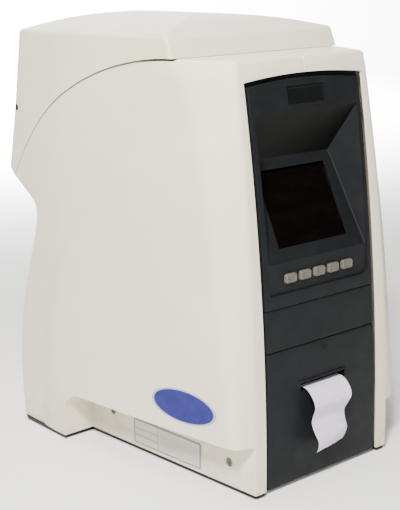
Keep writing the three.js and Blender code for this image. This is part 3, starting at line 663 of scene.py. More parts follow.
def block(x, y, z):
    """A box between pairs of millimetres."""
    tool = start("cube", size=1, location=at(sum(x) / 2, sum(y) / 2, sum(z) / 2))
    tool.scale = ((x[1] - x[0]) * MM, (y[1] - y[0]) * MM, (z[1] - z[0]) * MM)
    return settle(tool)


def round_tool(axis, radius, place, length):
    """A round bar along the x or the y axis."""
    tool = start("cylinder", vertices=32, radius=radius * MM, depth=length * MM, location=place)
    tool.rotation_euler = {"x": (0, math.pi / 2, 0), "y": (math.pi / 2, 0, 0)}[axis]
    return settle(tool)


def plug_hole(side, radius=4.1, x=128):
    """The hole of the blind plug on one side of the head."""
    return round_tool("x", radius, at(side * x, PLUG_Y, PLUG_Z), 30)


def rounded_block_outline(cx, cz, half_w, half_h, r, y, steps=6):
    """A rounded rectangle seen from the front, as places at a depth."""
    line = []
    for quarter, (sx, sz) in enumerate([(1, 1), (-1, 1), (-1, -1), (1, -1)]):
        for i in range(steps + 1):
            turn = (quarter + i / steps) * math.pi / 2
            x = cx + sx * (half_w - r) + r * math.cos(turn)
            z = cz + sz * (half_h - r) + r * math.sin(turn)
            line.append(at(x, y, z))
    return line


def window_tool(grow=0.0):
    """The patient's window through the back of the head."""
    line = rounded_block_outline(0, 350, 74 + grow, 43 + grow, 14 + grow, 300)
    return prism(line, (0, 0.1, 0))


print("the brow hollow is", round(2 * BROW_RADIUS), "mm across")


# %% [markdown]
# ## Side shells and top cover
# The whole casing is cut out of its solid first, and its inner wall out of a solid one wall
# smaller. The walls are what lies between the two below the parting line, and the cover is what
# lies between two domes above it. Holes for the screws, plugs, inlet and switch follow.

# %% Side shells and top cover
SCREW_SPOTS = ((39.4, 30), (230, 35.4))  # depth and height of the side screws
REAR_HOLES = ((52, 14.2, 10.7), (86, 8.2, 11.2))  # x, half width and half height
STEM_X, STEM_Z = 34, 428  # the brow pad's two stems
casing = combine(outer, skirt_tool(0))
cavity = combine(hollow, skirt_tool(3))
dome = upper_solid(0)
dome_hollow = upper_solid(3)
brow = brow_tool(0)
brow_inner = brow_tool(3)
for piece in (casing, dome):
    combine(piece, brow, keep=True)
for piece in (cavity, dome_hollow):
    combine(piece, brow_inner, keep=True)
bpy.data.objects.remove(brow)
bpy.data.objects.remove(brow_inner)

walls = copy_of(casing, "walls")
combine(walls, cavity, keep=True)
combine(walls, over_parting(0))
combine(walls, opening_tool(0.5))
combine(walls, window_tool())
combine(walls, block((-200, 200), (-50, 500), (-20, 4.8)))
for y, z in SCREW_SPOTS:
    for side in (-1, 1):
        combine(walls, round_tool("x", 4.9, at(side * 99.6, y, z), 10))
for side in (-1, 1):
    combine(walls, plug_hole(side))
for x, half_w, half_h in REAR_HOLES:
    combine(walls, block((x - half_w, x + half_w), (340, 380), (46 - half_h, 46 + half_h)))

top_cover = combine(dome, dome_hollow)
combine(top_cover, over_parting(-2.3), "INTERSECT")
combine(top_cover, window_tool())
for side in (-1, 1):
    combine(top_cover, plug_hole(side))
    combine(top_cover, round_tool("y", 3.6, at(side * STEM_X, 325, STEM_Z), 60))
print("walls have", len(walls.data.polygons), "faces; top cover", len(top_cover.data.polygons))

# %% [markdown]
# ## The split down the middle
# The walls are copied, and each copy loses the other half, with a hair's gap between them. Where
# the split shows, on the front above the panel and on the shelf, the gap is wider and both edges
# are eased by one V-shaped groove that follows the front up and over the shelf's rounding.

# %% Split the walls
SPLIT_HALF = 1.7  # half width of the eased groove along the split
SPLIT_OVER, SPLIT_DEEP = 0.8, 1.3  # the groove's tool stands over the surface and reaches under it
left_shell = copy_of(walls, "left_casing")
right_shell = copy_of(walls, "right_casing")
bpy.data.objects.remove(walls)
combine(left_shell, block((-0.2, 200), (-60, 500), (-20, 520)))
combine(right_shell, block((-200, 0.2), (-60, 500), (-20, 520)))
combine(left_shell, block((-0.6, 200), (-60, 96), (400, 520)))
combine(right_shell, block((-200, 0.6), (-60, 96), (400, 520)))
path = [(front_at(z), z, -1, 0) for z in (412, 418, 424, SHELF - EASE)]
for k in range(1, 5):
    turn = math.pi / 2 * k / 4
    y = front_at(SHELF) + EASE * (1 - math.cos(turn))
    z = SHELF - EASE + EASE * math.sin(turn)
    path.append((y, z, -math.cos(turn), math.sin(turn)))
path.append((100, SHELF, 0, 1))
sections = []
for y, z, out_y, out_z in path:
    over_y, over_z = y + SPLIT_OVER * out_y, z + SPLIT_OVER * out_z
    bottom = at(0, y - SPLIT_DEEP * out_y, z - SPLIT_DEEP * out_z)
    sections.append([at(-SPLIT_HALF, over_y, over_z), at(SPLIT_HALF, over_y, over_z), bottom])
groove = loft(sections)
for piece in (left_shell, right_shell):
    combine(piece, groove, keep=True)
bpy.data.objects.remove(groove)
top_cover.name = "head_cover"
shells = (left_shell, right_shell, top_cover)
for piece, stands_for in zip(shells, ("left_side_shell", "right_side_shell", "top_cover")):
    settle(piece, angle=28)
    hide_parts(stands_for)
ride_all(shells, "casing", "shell")
for leftover in (casing, cavity):
    bpy.data.objects.remove(leftover)
print("shells have", [len(piece.data.polygons) for piece in shells], "faces")

# %% [markdown]
# ## The tongue behind the parting line
# The side shells carry a thin lip that stands up behind the top cover's edge. It fills the bottom
# of the gap, so the parting line reads as a shallow groove, and it is painted a dark olive as the
# groove's shade. It is the band of a slightly smaller casing between two copies of the parting
# curve, with a straight bar below the cover's front: a dark strip of painted shade in the gap.

# %% Parting tongue
tongue = lower_solid(1.7)
combine(tongue, lower_solid(2.8))
combine(tongue, over_parting(-5))
combine(tongue, over_parting(5), "INTERSECT")
combine(tongue, window_tool(1.5))
combine(tongue, brow_tool(1.7))
for side in (-1, 1):
    combine(tongue, plug_hole(side, 4.6, 130))
combine(tongue, block((-110, 110), (60, 130), (400, 460)))
# This bar fills the gap under the cover's front with a dark strip of painted shade.
combine(tongue, block((-112, 112), (95.4, 99.6), (432, 437.3)), "UNION")
settle(tongue, "parting_tongue")
ride_all([tongue], "casing", "shell")
print("tongue has", len(tongue.data.polygons), "faces")

# %% [markdown]
# ## The dark operator's panel
# One moulding holds the screen recess and the key ledge. Its outside follows the arch of the
# casing's front. The recess is a funnel whose floor starts at the key ledge and whose back leans
# away with the screen, so it is cut with a wedge. Every cut edge is then eased by a fine bevel,
# which catches the light as a moulded edge does.

# %% Panel tools
PANEL_SET = 1.2  # the panel stands this far behind the white rim
SCREEN_LOW = (16.7, 249.6)  # depth and height of the glass's lower edge
SCREEN_TILT = math.atan2(37, 72.3)  # the glass leans back this far
SCREEN_W, SCREEN_H = 101.4, 81


def face_at(z):
    """The depth of the panel's face at a height."""
    return front_at(z) + PANEL_SET


def slab(low, high, half, near=0.0, far=3.0, steps=20):
    """A curved plate between two heights and two depths behind the panel's face."""
    heights = [low + (high - low) * i / steps for i in range(steps + 1)]
    outside = [(face_at(z) + near, z) for z in heights]
    inside = [(face_at(z) + far, z) for z in reversed(heights)]
    return side_tool(outside + inside, half)


def stepped(low, high):
    """A raised face with turned-back edges over a flange that fills the opening."""
    raised = combine(slab(low, high, 86, 0, 8), opening_tool(-4.8, 2.4), "INTERSECT")
    apply(raised, "BEVEL", width=1.3 * MM, segments=4, limit_method="ANGLE", angle_limit=0.6)
    flange = combine(slab(low, high, 86, 6, 8), opening_tool(-0.5), "INTERSECT")
    combine(raised, flange, "UNION")
    inside = combine(slab(low - 2, high + 0.6, 86, 3, 9), opening_tool(-7.4), "INTERSECT")
    return combine(raised, inside)


def wedge(points, ease=0):
    """A closed solid round eight places, given as two loops of four, with eased edges."""
    tool = start("cube", size=2)
    order = {}
    for vertex in tool.data.vertices:
        x, y, z = vertex.co
        corner = {(-1, -1): 0, (1, -1): 1, (1, 1): 2, (-1, 1): 3}[(round(x), round(z))]
        order[vertex.index] = (0 if y < 0 else 4) + corner
    for vertex in tool.data.vertices:
        vertex.co = points[order[vertex.index]]
    settle(tool)
    if ease:
        apply(tool, "BEVEL", width=ease * MM, segments=5, limit_method="ANGLE", angle_limit=0.5)
    return tool


def funnel(grow=0.0, ease=1.2):
    """The screen recess: it narrows from a mouth with round corners to a leaning back."""
    mouth = [at(-75.5 - grow, 0, 236 - grow), at(75.5 + grow, 0, 236 - grow)]
    mouth += [at(77.9 + grow, 20, 396.8 + grow), at(-77.9 - grow, 20, 396.8 + grow)]
    back = [at(-72 - grow, 10.8 + grow, 236 - grow), at(72 + grow, 10.8 + grow, 236 - grow)]
    back += [at(61 + grow, 55 + grow, 333 + grow), at(-61 - grow, 55 + grow, 333 + grow)]
    corners = rounded_block_outline(0, 310, 75.2 + grow, 74.5 + grow, 7 + grow, -40, 8)
    return combine(wedge(mouth + back, ease), prism(corners, (0, 0.12, 0)), "INTERSECT")


def on_screen(u, v, w=0):
    """A place on the leaning screen plane: u across, v up the glass, w out of it."""
    turn = Matrix.Rotation(-SCREEN_TILT, 3, "X")
    local = turn @ Vector((u, -w, v))
    return at(local.x, SCREEN_LOW[0] + local.y, SCREEN_LOW[1] + local.z)


def screen_block(half, low, high, front, back):
    """A box lying on the screen plane; front and back count out of the glass."""
    corners = [(-half, low), (half, low), (half, high), (-half, high)]
    near = [on_screen(u, v, front) for u, v in corners]
    far = [on_screen(u, v, back) for u, v in corners]
    return wedge(near + far)


print("the screen leans back", round(math.degrees(SCREEN_TILT), 1), "degrees")

# %% [markdown]
# ## Display moulding
# A stepped plate is joined to a pocket that is the recess grown by its wall, and then the recess,
# the key ledge, the screen's window, five key holes and the name plate's seat are cut into it.
# The grown pocket comes first, so that the wall round the recess is even.

# %% Display moulding
KEY_COUNT, KEY_PITCH, KEY_Z = 5, 21, 219.6
LEDGE_Y = 10.4  # depth of the key ledge's face
key_xs = [(i - (KEY_COUNT - 1) / 2) * KEY_PITCH for i in range(KEY_COUNT)]
panel = stepped(191.6, 421)
pocket = combine(funnel(2.5, 0), slab(200, 392, 86, 0.6, 60), "INTERSECT")
combine(panel, pocket, "UNION")
combine(panel, block((-77.2, 77.2), (9.6, 13.4), (201.5, 239)), "UNION")
combine(panel, funnel())
ledge = rounded_block_outline(0, 224.5, 74.5, 20, 7, -30)
combine(panel, prism(ledge, (0, (30 + LEDGE_Y) * MM, 0)))
combine(panel, screen_block(SCREEN_W / 2, 0, SCREEN_H, 12, -12))
for x in key_xs:
    hole = rounded_block_outline(x, KEY_Z, 8.4, 5.3, 2.9, 0)
    combine(panel, prism(hole, (0, 30 * MM, 0)))
combine(panel, slab(390.6, 407.8, 26.4, -3, 1.9))
settle(panel, "display_moulding", 32)
apply(panel, "BEVEL", width=0.5 * MM, segments=2, limit_method="ANGLE", angle_limit=0.7)
bpy.ops.object.shade_smooth_by_angle(angle=math.radians(40))
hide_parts("display_panel")
print("display moulding has", len(panel.data.polygons), "faces")

# %% [markdown]
# ## Blank panel and printer door
# Two more plates carry the face down to the table. The door has a paper slot under a raised lip,
# three small grip bars near its top edge, turned-back edges inside and two hinge eyes at its foot.

# %% Lower plates
GRIP_X, GRIP_HALVES = 3.4, (4.6, 3.7, 2.8)  # the grip bars' middle and half lengths
ROD_Y, ROD_Z = 4.8, 8.7  # the door's hinge rod
blank = stepped(148.4, 190.8)
settle(blank, "blank_plate", 32)
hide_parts("blank_panel")

door = stepped(5.1, 147.6)
lip = block((-34.5, 34.5), (0.4, 4), (107.2, 110.4))
apply(lip, "BEVEL", width=0.9 * MM, segments=3)
combine(door, lip, "UNION")
combine(door, block((-33.7, 33.7), (-20, 20), (98, 108.5)))
for k, half in enumerate(GRIP_HALVES):
    z = 142.4 - 2.9 * k
    depths = (face_at(z) - 0.7, face_at(z) + 1)
    grip = block((GRIP_X - half, GRIP_X + half), depths, (z - 0.6, z + 0.6))
    apply(grip, "BEVEL", width=0.45 * MM, segments=3)
    combine(door, grip, "UNION")
for x in (-62, 62):
    combine(door, block((x - 7, x + 7), (2.6, 7), (6.2, 12)), "UNION")
    combine(door, round_tool("x", 3.4, at(x, ROD_Y, ROD_Z), 14), "UNION")
combine(door, round_tool("x", 1.7, at(0, ROD_Y, ROD_Z), 176))
settle(door, "door_moulding", 32)
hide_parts("printer_door")
ride_all([panel, blank], "casing", "panel")
ride_all([door], "printer_door", "panel")
print("door has", len(door.data.polygons), "faces")

# %% [markdown]
# ## Name plate and screen
# The plate is a shallow inset tablet, left blank. The screen is a slab of dark glass whose edge
# is polished to a small bevel, with the thin black gasket of its module showing around it.

# %% Name plate and screen glass
plate = slab(391, 407.4, 26, -0.5, 1.6, 4)
bpy.ops.object.select_all(action="DESELECT")
bpy.context.view_layer.objects.active = plate
plate.select_set(True)
bpy.ops.object.mode_set(mode="EDIT")
bpy.ops.mesh.select_all(action="DESELECT")
tablet_faces = bmesh.from_edit_mesh(plate.data).faces
for face in tablet_faces:
    face.select = face.normal.y < -0.9
bmesh.update_edit_mesh(plate.data)
bpy.ops.mesh.inset(thickness=1.3 * MM, depth=0)
bpy.ops.mesh.inset(thickness=0.4 * MM, depth=-0.3 * MM)
bpy.ops.object.mode_set(mode="OBJECT")
settle(plate, "blank_name_plate", 30)
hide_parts("name_plate")

glass = screen_block(SCREEN_W / 2 - 0.4, 0.4, SCREEN_H - 0.4, -0.6, -2.4)
apply(glass, "BEVEL", width=0.5 * MM, segments=3)
settle(glass, "screen_glass", 30)
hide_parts("display_glass")
ride_all([plate], "casing", "dark_plastic")
ride_all([glass], "casing", "screen")
print("the glass has", len(glass.data.polygons), "faces")

# %% [markdown]
# ## Keys
# Each key is a soft rectangle with a rolled rim and a shallow dish for the fingertip. All five
# are lofted through the same rings, which step in towards the middle, and each has a square stem
# that reaches back to its switch. The key is one moulding, so the stem is joined to the cap.

# %% Keys
KEY_STEPS = [  # half width, half height, corner radius and depth of each ring, from the back
    (8.0, 4.9, 2.6, 15.4), (8.0, 4.9, 2.6, 9.3), (7.85, 4.75, 2.5, 8.2), (7.4, 4.3, 2.2, 7.35),
    (6.7, 3.7, 1.9, 6.95), (5.9, 3.0, 1.6, 7.1), (4.6, 2.0, 1.1, 7.5), (2.6, 1.0, 0.6, 7.75),
    (1.0, 0.45, 0.4, 7.8),
]
for number, x in enumerate(key_xs, 1):
    rings = [
        rounded_block_outline(x, KEY_Z, half_w, half_h, radius, y, 5)
        for half_w, half_h, radius, y in KEY_STEPS
    ]
    key = loft(rings)
    stem = block((x - 3, x + 3), (15.2, 19.2), (KEY_Z - 2.5, KEY_Z + 2.5))
    combine(key, stem, "UNION")
    settle(key, f"key_cap_{number}", 50)
    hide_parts(f"key_{number}")
    ride_all([key], f"key_{number}", "keys")
print(KEY_COUNT, "keys at", key_xs)

# %% [markdown]
# ## Paper slip
# A strip of thermal paper leaves the slot over the platen, bows outwards and hangs in two lazy
# waves with a slight twist, and ends in a torn edge. A flat grid is laid along that path point by
# point, and then given the thickness of paper. The path is a list of depths and heights.

# %% Paper slip
SLIP_PATH = [
    (9, 102.5), (3, 102.2), (-4.5, 99), (-10.6, 91.5), (-12, 83), (-8, 74), (-5.8, 66),
    (-9.4, 57), (-14.4, 49), (-13.2, 41), (-9.2, 34.5),
]
SLIP_END = 0.985  # share of the path that the paper covers
SLIP_OUTER = -19.6  # it stands no further out than this
slip_low, slip_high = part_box("paper_slip")
SLIP_W = (slip_high.x - slip_low.x) / MM


def along(points, share):
    """A Catmull-Rom curve through points, at a share of its length."""
    place = share * (len(points) - 1)
    k = min(int(place), len(points) - 2)
    t = place - k
    p0, p1, p2, p3 = (
        Vector(points[max(0, min(len(points) - 1, k + d))]) for d in (-1, 0, 1, 2)
    )
    curve = 2 * p1 + (p2 - p0) * t + (2 * p0 - 5 * p1 + 4 * p2 - p3) * t**2
    return 0.5 * (curve + (3 * p1 - p0 - 3 * p2 + p3) * t**3)


def torn_edge(across):
    """How far the torn end wanders, in millimetres, from -1 to 1 across the strip."""
    wander = 1.2 * math.sin(across * 2.2 + 0.6)
    return wander + 0.35 * math.sin(across * 23) + 0.2 * math.sin(across * 51)


ROWS, COLUMNS = 72, 20
slip = start("grid", x_subdivisions=COLUMNS, y_subdivisions=ROWS, size=2)
for vertex in slip.data.vertices:
    across, down = vertex.co.x, (1 - vertex.co.y) / 2
    torn = torn_edge(across)
    reach = down * (SLIP_END + torn * 0.008 * smooth(down, 0.8, 1))
    y, z = along(SLIP_PATH, min(1.0, reach))
    twist = 5.8 * smooth(down, 0.25, 1) * across
    roll = 0.9 * math.sin(down * 9 + 0.4) * (across**2)
    y = max(SLIP_OUTER, min(y + twist + roll * smooth(down, 0.12, 0.3), SLIP_PATH[0][0]))
    drift = -1.6 * smooth(down, 0.35, 1)
    half = SLIP_W / 2 - 0.2
    vertex.co = at(across * (half - abs(drift)) + drift, y, z - torn * 0.5 * smooth(down, 0.9, 1))
settle(slip, "printed_slip", 60)
apply(slip, "SOLIDIFY", thickness=0.09 * MM, offset=0)
bpy.ops.object.shade_smooth_by_angle(angle=math.radians(50))
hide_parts("paper_slip")
ride_all([slip], "printer_door", "paper")
spots = [along(SLIP_PATH, i / 200 * SLIP_END) for i in range(201)]
slip_length = sum((after - before).length for before, after in zip(spots, spots[1:]))
print("slip is", round(SLIP_W, 1), "by", round(slip_length, 1), "mm flat")

# %% [markdown]
# ## Badge
# The badge is a thin oval that follows the cheek, so it is cut from the skin between two casings
# that are slightly larger than the real one, with an oval bar swept in from the side.

# %% Badge
BADGE_Y, BADGE_Z = 76, 88
BADGE_L, BADGE_H = 45, 17.5  # half length and half height
badge = lower_solid(-0.8)
combine(badge, lower_solid(-0.15))
oval = [at(-170, BADGE_Y + BADGE_L * c, BADGE_Z + BADGE_H * s) for c, s in round_steps(48)]
combine(badge, prism(oval, (0.12, 0, 0)), "INTERSECT")
settle(badge, "oval_badge", 35)
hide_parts("badge")
ride_all([badge], "casing", "badge")
print("badge has", len(badge.data.polygons), "faces")

# %% [markdown]
# ## Rating plate
# The plate is a flat foil let into the base. A cube of its size gets four rounded corners by a
# bevel of the edges that run through its thickness.

# %% Rating plate
label_low, label_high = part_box("rating_label")
label = start("cube", size=1, location=(label_low + label_high) / 2)
label.scale = label_high - label_low
settle(label)
bpy.ops.object.mode_set(mode="EDIT")
bpy.ops.mesh.select_all(action="DESELECT")
foil_edges = bmesh.from_edit_mesh(label.data).edges
for edge in foil_edges:
    edge.select = abs((edge.verts[0].co - edge.verts[1].co).normalized().x) > 0.9
bmesh.update_edit_mesh(label.data)
bpy.ops.mesh.bevel(offset=2 * MM, segments=4)
bpy.ops.object.mode_set(mode="OBJECT")
settle(label, "blank_rating_plate", 30)
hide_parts("rating_label")
ride_all([label], "casing", "label")
print("rating plate is", round((label_high.y - label_low.y) / MM), "mm long")

# %% [markdown]
# ## Screws
# Each casing screw sits in a counterbore. Its domed head is lofted through a few circles, a cross
# recess is cut into it with two thin blocks, and its shank reaches in behind.


# %% Screws
SCREW_DOME = [(1, 0.9), (1, 0.35), (0.93, 0.12), (0.72, 0.0), (0.3, -0.06)]  # radius share, depth


def screw(name, stands_for, side):
    """One screw in the place of a CAD screw, on the left (-1) or the right (1) of the base."""
    low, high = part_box(stands_for)
    middle = (low + high) / 2
    face = high.x if side > 0 else low.x
    radius = (high.z - low.z) / 2 - 0.35 * MM
    rings = []
    for share, depth in SCREW_DOME:
        x, r = face - side * (depth + 0.1) * MM, share * radius
        rings.append([Vector((x, middle.y + r * c, middle.z + r * s)) for c, s in round_steps(28)])
    head = loft(rings)
    x, y, z = face / MM, (middle.y - FRONT) / MM, middle.z / MM
    span = (min(x, x - side * 0.8), max(x + side, x - side * 0.8))
    for long_y, long_z in ((2.6, 0.45), (0.45, 2.6)):
        combine(head, block(span, (y - long_y, y + long_y), (z - long_z, z + long_z)))
    shank = round_tool("x", 1.95, Vector((face - side * 5.8 * MM, middle.y, middle.z)), 10)
    combine(head, shank, "UNION")
    settle(head, name, 35)
    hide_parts(stands_for)
    ride_all([head], "casing", "steel")
    return head


screws = [
    screw(f"casing_screw_{word}_{end}", f"screw_{word}_{end}", side)
    for word, side in (("left", -1), ("right", 1))
    for end in ("front", "rear")
]
print(len(screws), "screws")

# %% [markdown]
# ## Blind plugs
# A soft rubber plug closes the hole on each side of the head. It is a low dome on a straight
# skirt, lofted through circles, and stands just proud of the wall beside it.

# %% Blind plugs
PLUG_DOME = [(3.7, 6), (3.7, 0.9), (3.55, 0.3), (3.1, 0), (1.2, -0.15)]  # radius and depth
flush = side_at(PLUG_Y, PLUG_Z) - cheek_drop(PLUG_Y, PLUG_Z) - 0.5
for word, side in (("left", -1), ("right", 1)):
    rings = []
    for radius, depth in PLUG_DOME:
        x = side * (flush - depth)
        rings.append([at(x, PLUG_Y + radius * c, PLUG_Z + radius * s) for c, s in round_steps(32)])
    plug = settle(loft(rings), f"blind_plug_{word}", 40)
    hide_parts(f"plug_{word}")
    ride_all([plug], "casing", "rubber")
print("plugs sit", round(flush, 1), "mm from the middle")

# %% [markdown]
# ## The patient's side
# The eye window has a black lining, and above it a soft brow pad sits on two sprung stems. The
# pad is a crowned, closed form: thick in the middle and drawn in at its ends.

# %% Brow pad
PAD_R = BROW_RADIUS - 4.2
STATIONS = 40
pad_rings = []
for i in range(STATIONS + 1):
    share = i / STATIONS * 2 - 1
    turn = share * 0.615
    ends = max(0.0, 1 - abs(share) ** 6) ** 0.5
    half_h = 18.6 * (0.72 + 0.28 * ends) * max(0.25, ends) ** 0.3
    thick = 8.6 * max(0.16, ends**0.6)
    section = []
    for c, s in round_steps(24):
        up = math.copysign(abs(c) ** 0.55, c) * half_h
        out = math.copysign(abs(s) ** 0.7, s)
        crown = 0.3 + 0.7 * math.cos(up / 19 * 1.2) if out > 0 else 0.0
        r = PAD_R - 1.2 - (thick - 1.2) * max(0.0, out) * crown + max(0.0, -out)
        section.append(at(r * math.sin(turn), BROW_Y - r * math.cos(turn), STEM_Z + up))
    pad_rings.append(section)
pad = loft(pad_rings)
for x in (-STEM_X, STEM_X):
    combine(pad, round_tool("y", 3, at(x, 326, STEM_Z), 16), "UNION")
settle(pad, "brow_cushion", 60)
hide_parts("brow_pad")
ride_all([pad], "brow_pad", "padding")
print("pad has", len(pad.data.polygons), "faces")

# %% [markdown]
# ## Finishes
# The casing is an off-white plastic with a fine spark texture. It has yellowed a little unevenly,
# is slightly greyer near the table, and its sheen changes where hands have polished it.

# %% Ivory moulding
ivory = Finish("ivory_moulding", 0.42, Specular_IOR_Level=0.45)
ageing = ivory.noise(7, 3)
clouds = ivory.noise(34, 4, 0.6)
height = ivory.axis("Z")
yellowed = ivory.step(ageing, 0.35, 0.75) * 0.55
base_colour = ivory.mix((0.69, 0.645, 0.52, 1), (0.63, 0.57, 0.43, 1), yellowed)
base_colour = ivory.mix(base_colour, (0.57, 0.52, 0.40, 1), ivory.step(clouds, 0.52, 0.8) * 0.22)
# Patches in the lowest 6 cm, near the table, are darker and greyer, and rougher.
near_table_patches = ivory.step(height, 0.06, 0.0) * ivory.step(ivory.noise(60, 5, 0.7), 0.35, 0.7)
base_colour = ivory.mix(base_colour, (0.42, 0.38, 0.32, 1), near_table_patches * 0.5)
scuffs = ivory.step(ivory.noise(1, 6, 0.65, at=ivory.stretched((26, 90, 340))), 0.69, 0.78)
base_colour = ivory.mix(base_colour, (0.52, 0.50, 0.46, 1), scuffs * 0.22)
ivory.feed(Base_Color=base_colour, Roughness=0.36 + ivory.noise(22, 4) * 0.14 + near_table_patches * 0.15)
ivory.bump(ivory.noise(1900, 2, 0.6) + ivory.noise(620, 2) * 0.5, 0.00006, 0.55)
print("ivory has", len(ivory.tree.nodes), "nodes")

# %% [markdown]
# The operator's panel is a dark blue-grey plastic with a coarser grain. Dust greys its upward
# faces a little, the faces turned down are painted almost black as shade, and the grain is worn
# smoother, so slightly shinier, in places.

# %% Charcoal moulding
charcoal = Finish("charcoal_moulding", 0.5, Specular_IOR_Level=0.14)
mottle = charcoal.step(charcoal.noise(40, 4, 0.6), 0.3, 0.7)
colour = charcoal.mix((0.0056, 0.0067, 0.0078, 1), (0.0076, 0.0089, 0.0101, 1), mottle)
facing = charcoal.facing_up()
dust = charcoal.step(facing, 0.55, 1.0) * charcoal.step(charcoal.noise(90, 5, 0.7), 0.3, 0.7)
colour = charcoal.mix(colour, (0.03, 0.029, 0.026, 1), dust * 0.3)
# Painted shade: faces turned down are darkened almost to black.
painted_underside_shade = charcoal.step(facing, -0.15, -0.45) * 0.95
colour = charcoal.mix(colour, (0.0007, 0.0007, 0.0005, 1), painted_underside_shade)
charcoal.feed(Base_Color=colour, Roughness=0.44 + charcoal.noise(55, 3) * 0.18 + dust * 0.12)
charcoal.bump(charcoal.noise(1500, 3, 0.65), 0.00009, 0.6)
print("charcoal has", len(charcoal.tree.nodes), "nodes")

# %% [markdown]
# The remaining plastics, rubber and card are made with one recipe: a base colour with a mottle,
# a varied sheen and a grain, whose sizes differ.


# %% Small mouldings, rubber and paper
def grained(name, dark, light, sheen, grain, depth, mottle_scale=60, level=0.4):
    """A finish between two colours; grain and depth size its bump, level is its gloss."""
    finish = Finish(name, sheen, Specular_IOR_Level=level)
    spots = finish.noise(mottle_scale, 4, 0.6)
    finish.feed(
        Base_Color=finish.mix((*dark, 1), (*light, 1), finish.step(spots, 0.3, 0.7)),
        Roughness=sheen - 0.06 + finish.noise(mottle_scale * 1.7, 3) * 0.12,
    )
    finish.bump(finish.noise(grain, 3, 0.6), depth, 0.6)
    return finish


black_plastic = grained(
    "black_moulding", (0.004, 0.004, 0.0043), (0.008, 0.008, 0.0085), 0.45, 1600, 0.00006, level=0.2
)
tablet = grained(
    "name_tablet", (0.003, 0.0038, 0.0038), (0.0041, 0.0048, 0.0048), 0.42, 1700, 0.00005, level=0.14
)
# Dark olive for the parting tongue: painted shade of the groove, not the moulding's own colour.
groove_shade_paint = grained("tongue_painted_shade", (0.21, 0.20, 0.15), (0.28, 0.27, 0.21), 0.6, 1500, 0.00006)
key_plastic = grained(
    "key_moulding", (0.075, 0.073, 0.058), (0.10, 0.097, 0.078), 0.5, 2200, 0.00004, 140, 0.3
)
rubber = grained(
    "black_rubber", (0.012, 0.012, 0.012), (0.03, 0.029, 0.027), 0.75, 900, 0.0001, 90, 0.3
)
cushion = grained(
    "brow_silicone", (0.05, 0.055, 0.065), (0.075, 0.08, 0.09), 0.6, 1200, 0.00012, 80, 0.35
)
paper = grained(
    "thermal_paper", (0.60, 0.565, 0.67), (0.66, 0.62, 0.74), 0.36, 2600, 0.00002, 160, 0.5
)
board = grained("circuit_board", (0.012, 0.11, 0.045), (0.02, 0.17, 0.07), 0.4, 700, 0.00008, 260)
print("grained finishes run from", black_plastic.material.name, "to", board.material.name)

# %% [markdown]
# The screen is dark filter glass with faint wiping marks in its gloss. Lenses are clear-blue
# coated glass; both stay opaque dark bodies here, because nothing behind them is seen.

# %% Glass
screen = Finish("screen_glass", 0.14, Specular_IOR_Level=0.04, IOR=1.45)
wipes = screen.noise(1, 4, 0.6, at=screen.stretched((30, 160, 60)))
smears = screen.step(wipes, 0.4, 0.7)
screen.feed(
    Base_Color=screen.mix((0.0016, 0.0010, 0.0008, 1), (0.0026, 0.0017, 0.0014, 1), smears),
    Roughness=0.1 + screen.step(wipes, 0.45, 0.75) * 0.12,
)
lens = Finish("coated_lens", 0.05, Specular_IOR_Level=0.6, IOR=1.5)
lens.feed(
    Base_Color=lens.mix((0.008, 0.01, 0.03, 1), (0.03, 0.015, 0.05, 1), lens.noise(60, 2)),
    Roughness=0.04 + lens.noise(240, 3) * 0.05,
)
print("glass finishes:", screen.material.name, "and", lens.material.name)

# %% [markdown]
# Bare metal: the turned and pressed steel is bright with a drawn grain, and the cast alloy of the
# stages is duller and pitted.


# %% Metals
def metal(name, dark, light, sheen, stretch, depth):
    """A finish whose grain is a noise stretched by three factors."""
    finish = Finish(name, sheen, Metallic=1.0)
    lines = finish.noise(1, 5, 0.65, at=finish.stretched(stretch))
    finish.feed(
        Base_Color=finish.mix((*dark, 1), (*light, 1), finish.step(lines, 0.3, 0.7)),
        Roughness=sheen - 0.05 + lines * 0.2,
    )
    finish.bump(lines, depth, 0.5)
    return finish


fixing = metal(
    "dulled_screw", (0.10, 0.09, 0.065), (0.20, 0.18, 0.14), 0.38, (500, 900, 900), 0.00004
)
steel = metal("plated_steel", (0.36, 0.35, 0.33), (0.56, 0.55, 0.52), 0.3, (60, 900, 900), 0.00003)
alloy = metal("cast_alloy", (0.42, 0.43, 0.44), (0.6, 0.61, 0.62), 0.48, (420, 420, 420), 0.00008)
print("metals:", fixing.material.name, steel.material.name, alloy.material.name)

# %% [markdown]
# The badge is printed blue with a thin pale line along its rim, drawn from the distance to the
# oval's middle. The rating plate is brushed foil with a plain printed frame and fields, and
# carries no wording.

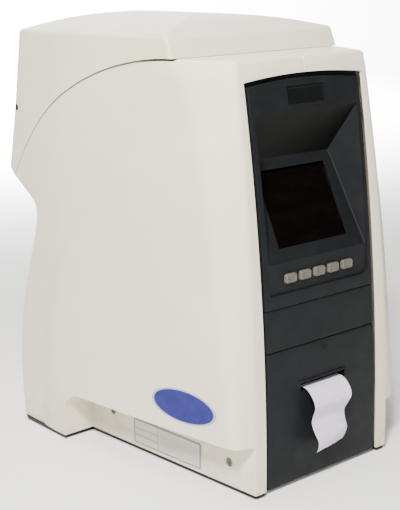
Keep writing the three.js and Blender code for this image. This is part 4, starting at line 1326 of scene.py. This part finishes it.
# %% Badge and plate prints
blue = Finish("badge_print", 0.36, Specular_IOR_Level=0.2)
oval_y = (blue.axis("Y") - (FRONT + BADGE_Y * MM)) / (BADGE_L * MM)
oval_z = (blue.axis("Z") - BADGE_Z * MM) / (BADGE_H * MM)
reach = (oval_y * oval_y + oval_z * oval_z).power(0.5)
rim_line = blue.step(reach, 0.925, 0.94)
patches = blue.step(blue.noise(90, 4), 0.35, 0.65)
ink = blue.mix((0.010, 0.012, 0.12, 1), (0.014, 0.017, 0.15, 1), patches)
blue.feed(
    Base_Color=blue.mix(ink, (0.36, 0.36, 0.46, 1), rim_line * 0.85),
    Roughness=0.3 + blue.noise(300, 3) * 0.1,
)
blue.bump(blue.noise(1500, 2), 0.00003, 0.4)

foil = Finish("plate_foil", 0.4, Specular_IOR_Level=0.5)
u = (foil.axis("Y") - label_low.y) / (label_high.y - label_low.y)
v = (foil.axis("Z") - label_low.z) / (label_high.z - label_low.z)


def between(value, low, high):
    return (value > low) * (value < high)


frame_line = 1 - between(u, 0.02, 0.98) * between(v, 0.06, 0.94)
rulings = between(v, 0.62, 0.65) * (u > 0.626) + between(v, 0.33, 0.36) * (u > 0.626)
divider = between(u, 0.62, 0.626) + rulings
foil_colour = foil.mix((0.50, 0.475, 0.41, 1), (0.57, 0.545, 0.475, 1), foil.noise(50, 3))
field = between(u, 0.05, 0.59) * between(v, 0.14, 0.86)
foil_colour = foil.mix(foil_colour, (0.38, 0.365, 0.33, 1), field * 0.4)
foil_colour = foil.mix(foil_colour, (0.16, 0.16, 0.17, 1), (frame_line * 0.8 + divider).clamped())
foil.feed(Base_Color=foil_colour, Roughness=0.36 + foil.noise(400, 3) * 0.12)
foil.bump(foil.noise(1200, 2), 0.00003, 0.4)
print("badge and plate prints have", len(blue.tree.nodes), "and", len(foil.tree.nodes), "nodes")

# %% [markdown]
# Each new piece and each CAD node that still shows now gets its finish, by the record's material
# slot of the node.

# %% Paint everything
by_slot = {
    "shell": ivory,
    "panel": charcoal,
    "dark_plastic": black_plastic,
    "keys": key_plastic,
    "screen": screen,
    "optics": lens,
    "paper": paper,
    "badge": blue,
    "label": foil,
    "rubber": rubber,
    "steel": steel,
    "alloy": alloy,
    "board": board,
    "padding": cushion,
}
slot_of = {row["node"]: row["material_slot"] for row in frame["record"]["subparts"]}
for name, piece in node.items():
    for place in piece.material_slots:
        place.material = by_slot[slot_of[name]].material
for piece in bpy.context.scene.objects:
    if piece.type == "MESH" and "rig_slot" in piece and not piece.get("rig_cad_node"):
        paint(piece, by_slot[piece["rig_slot"]])
paint(plate, tablet)
# The tongue takes the dark olive of painted groove shade.
paint(tongue, groove_shade_paint)
for head in screws:
    paint(head, fixing)
print("painted", len(slot_of), "nodes with", len(by_slot), "finishes")
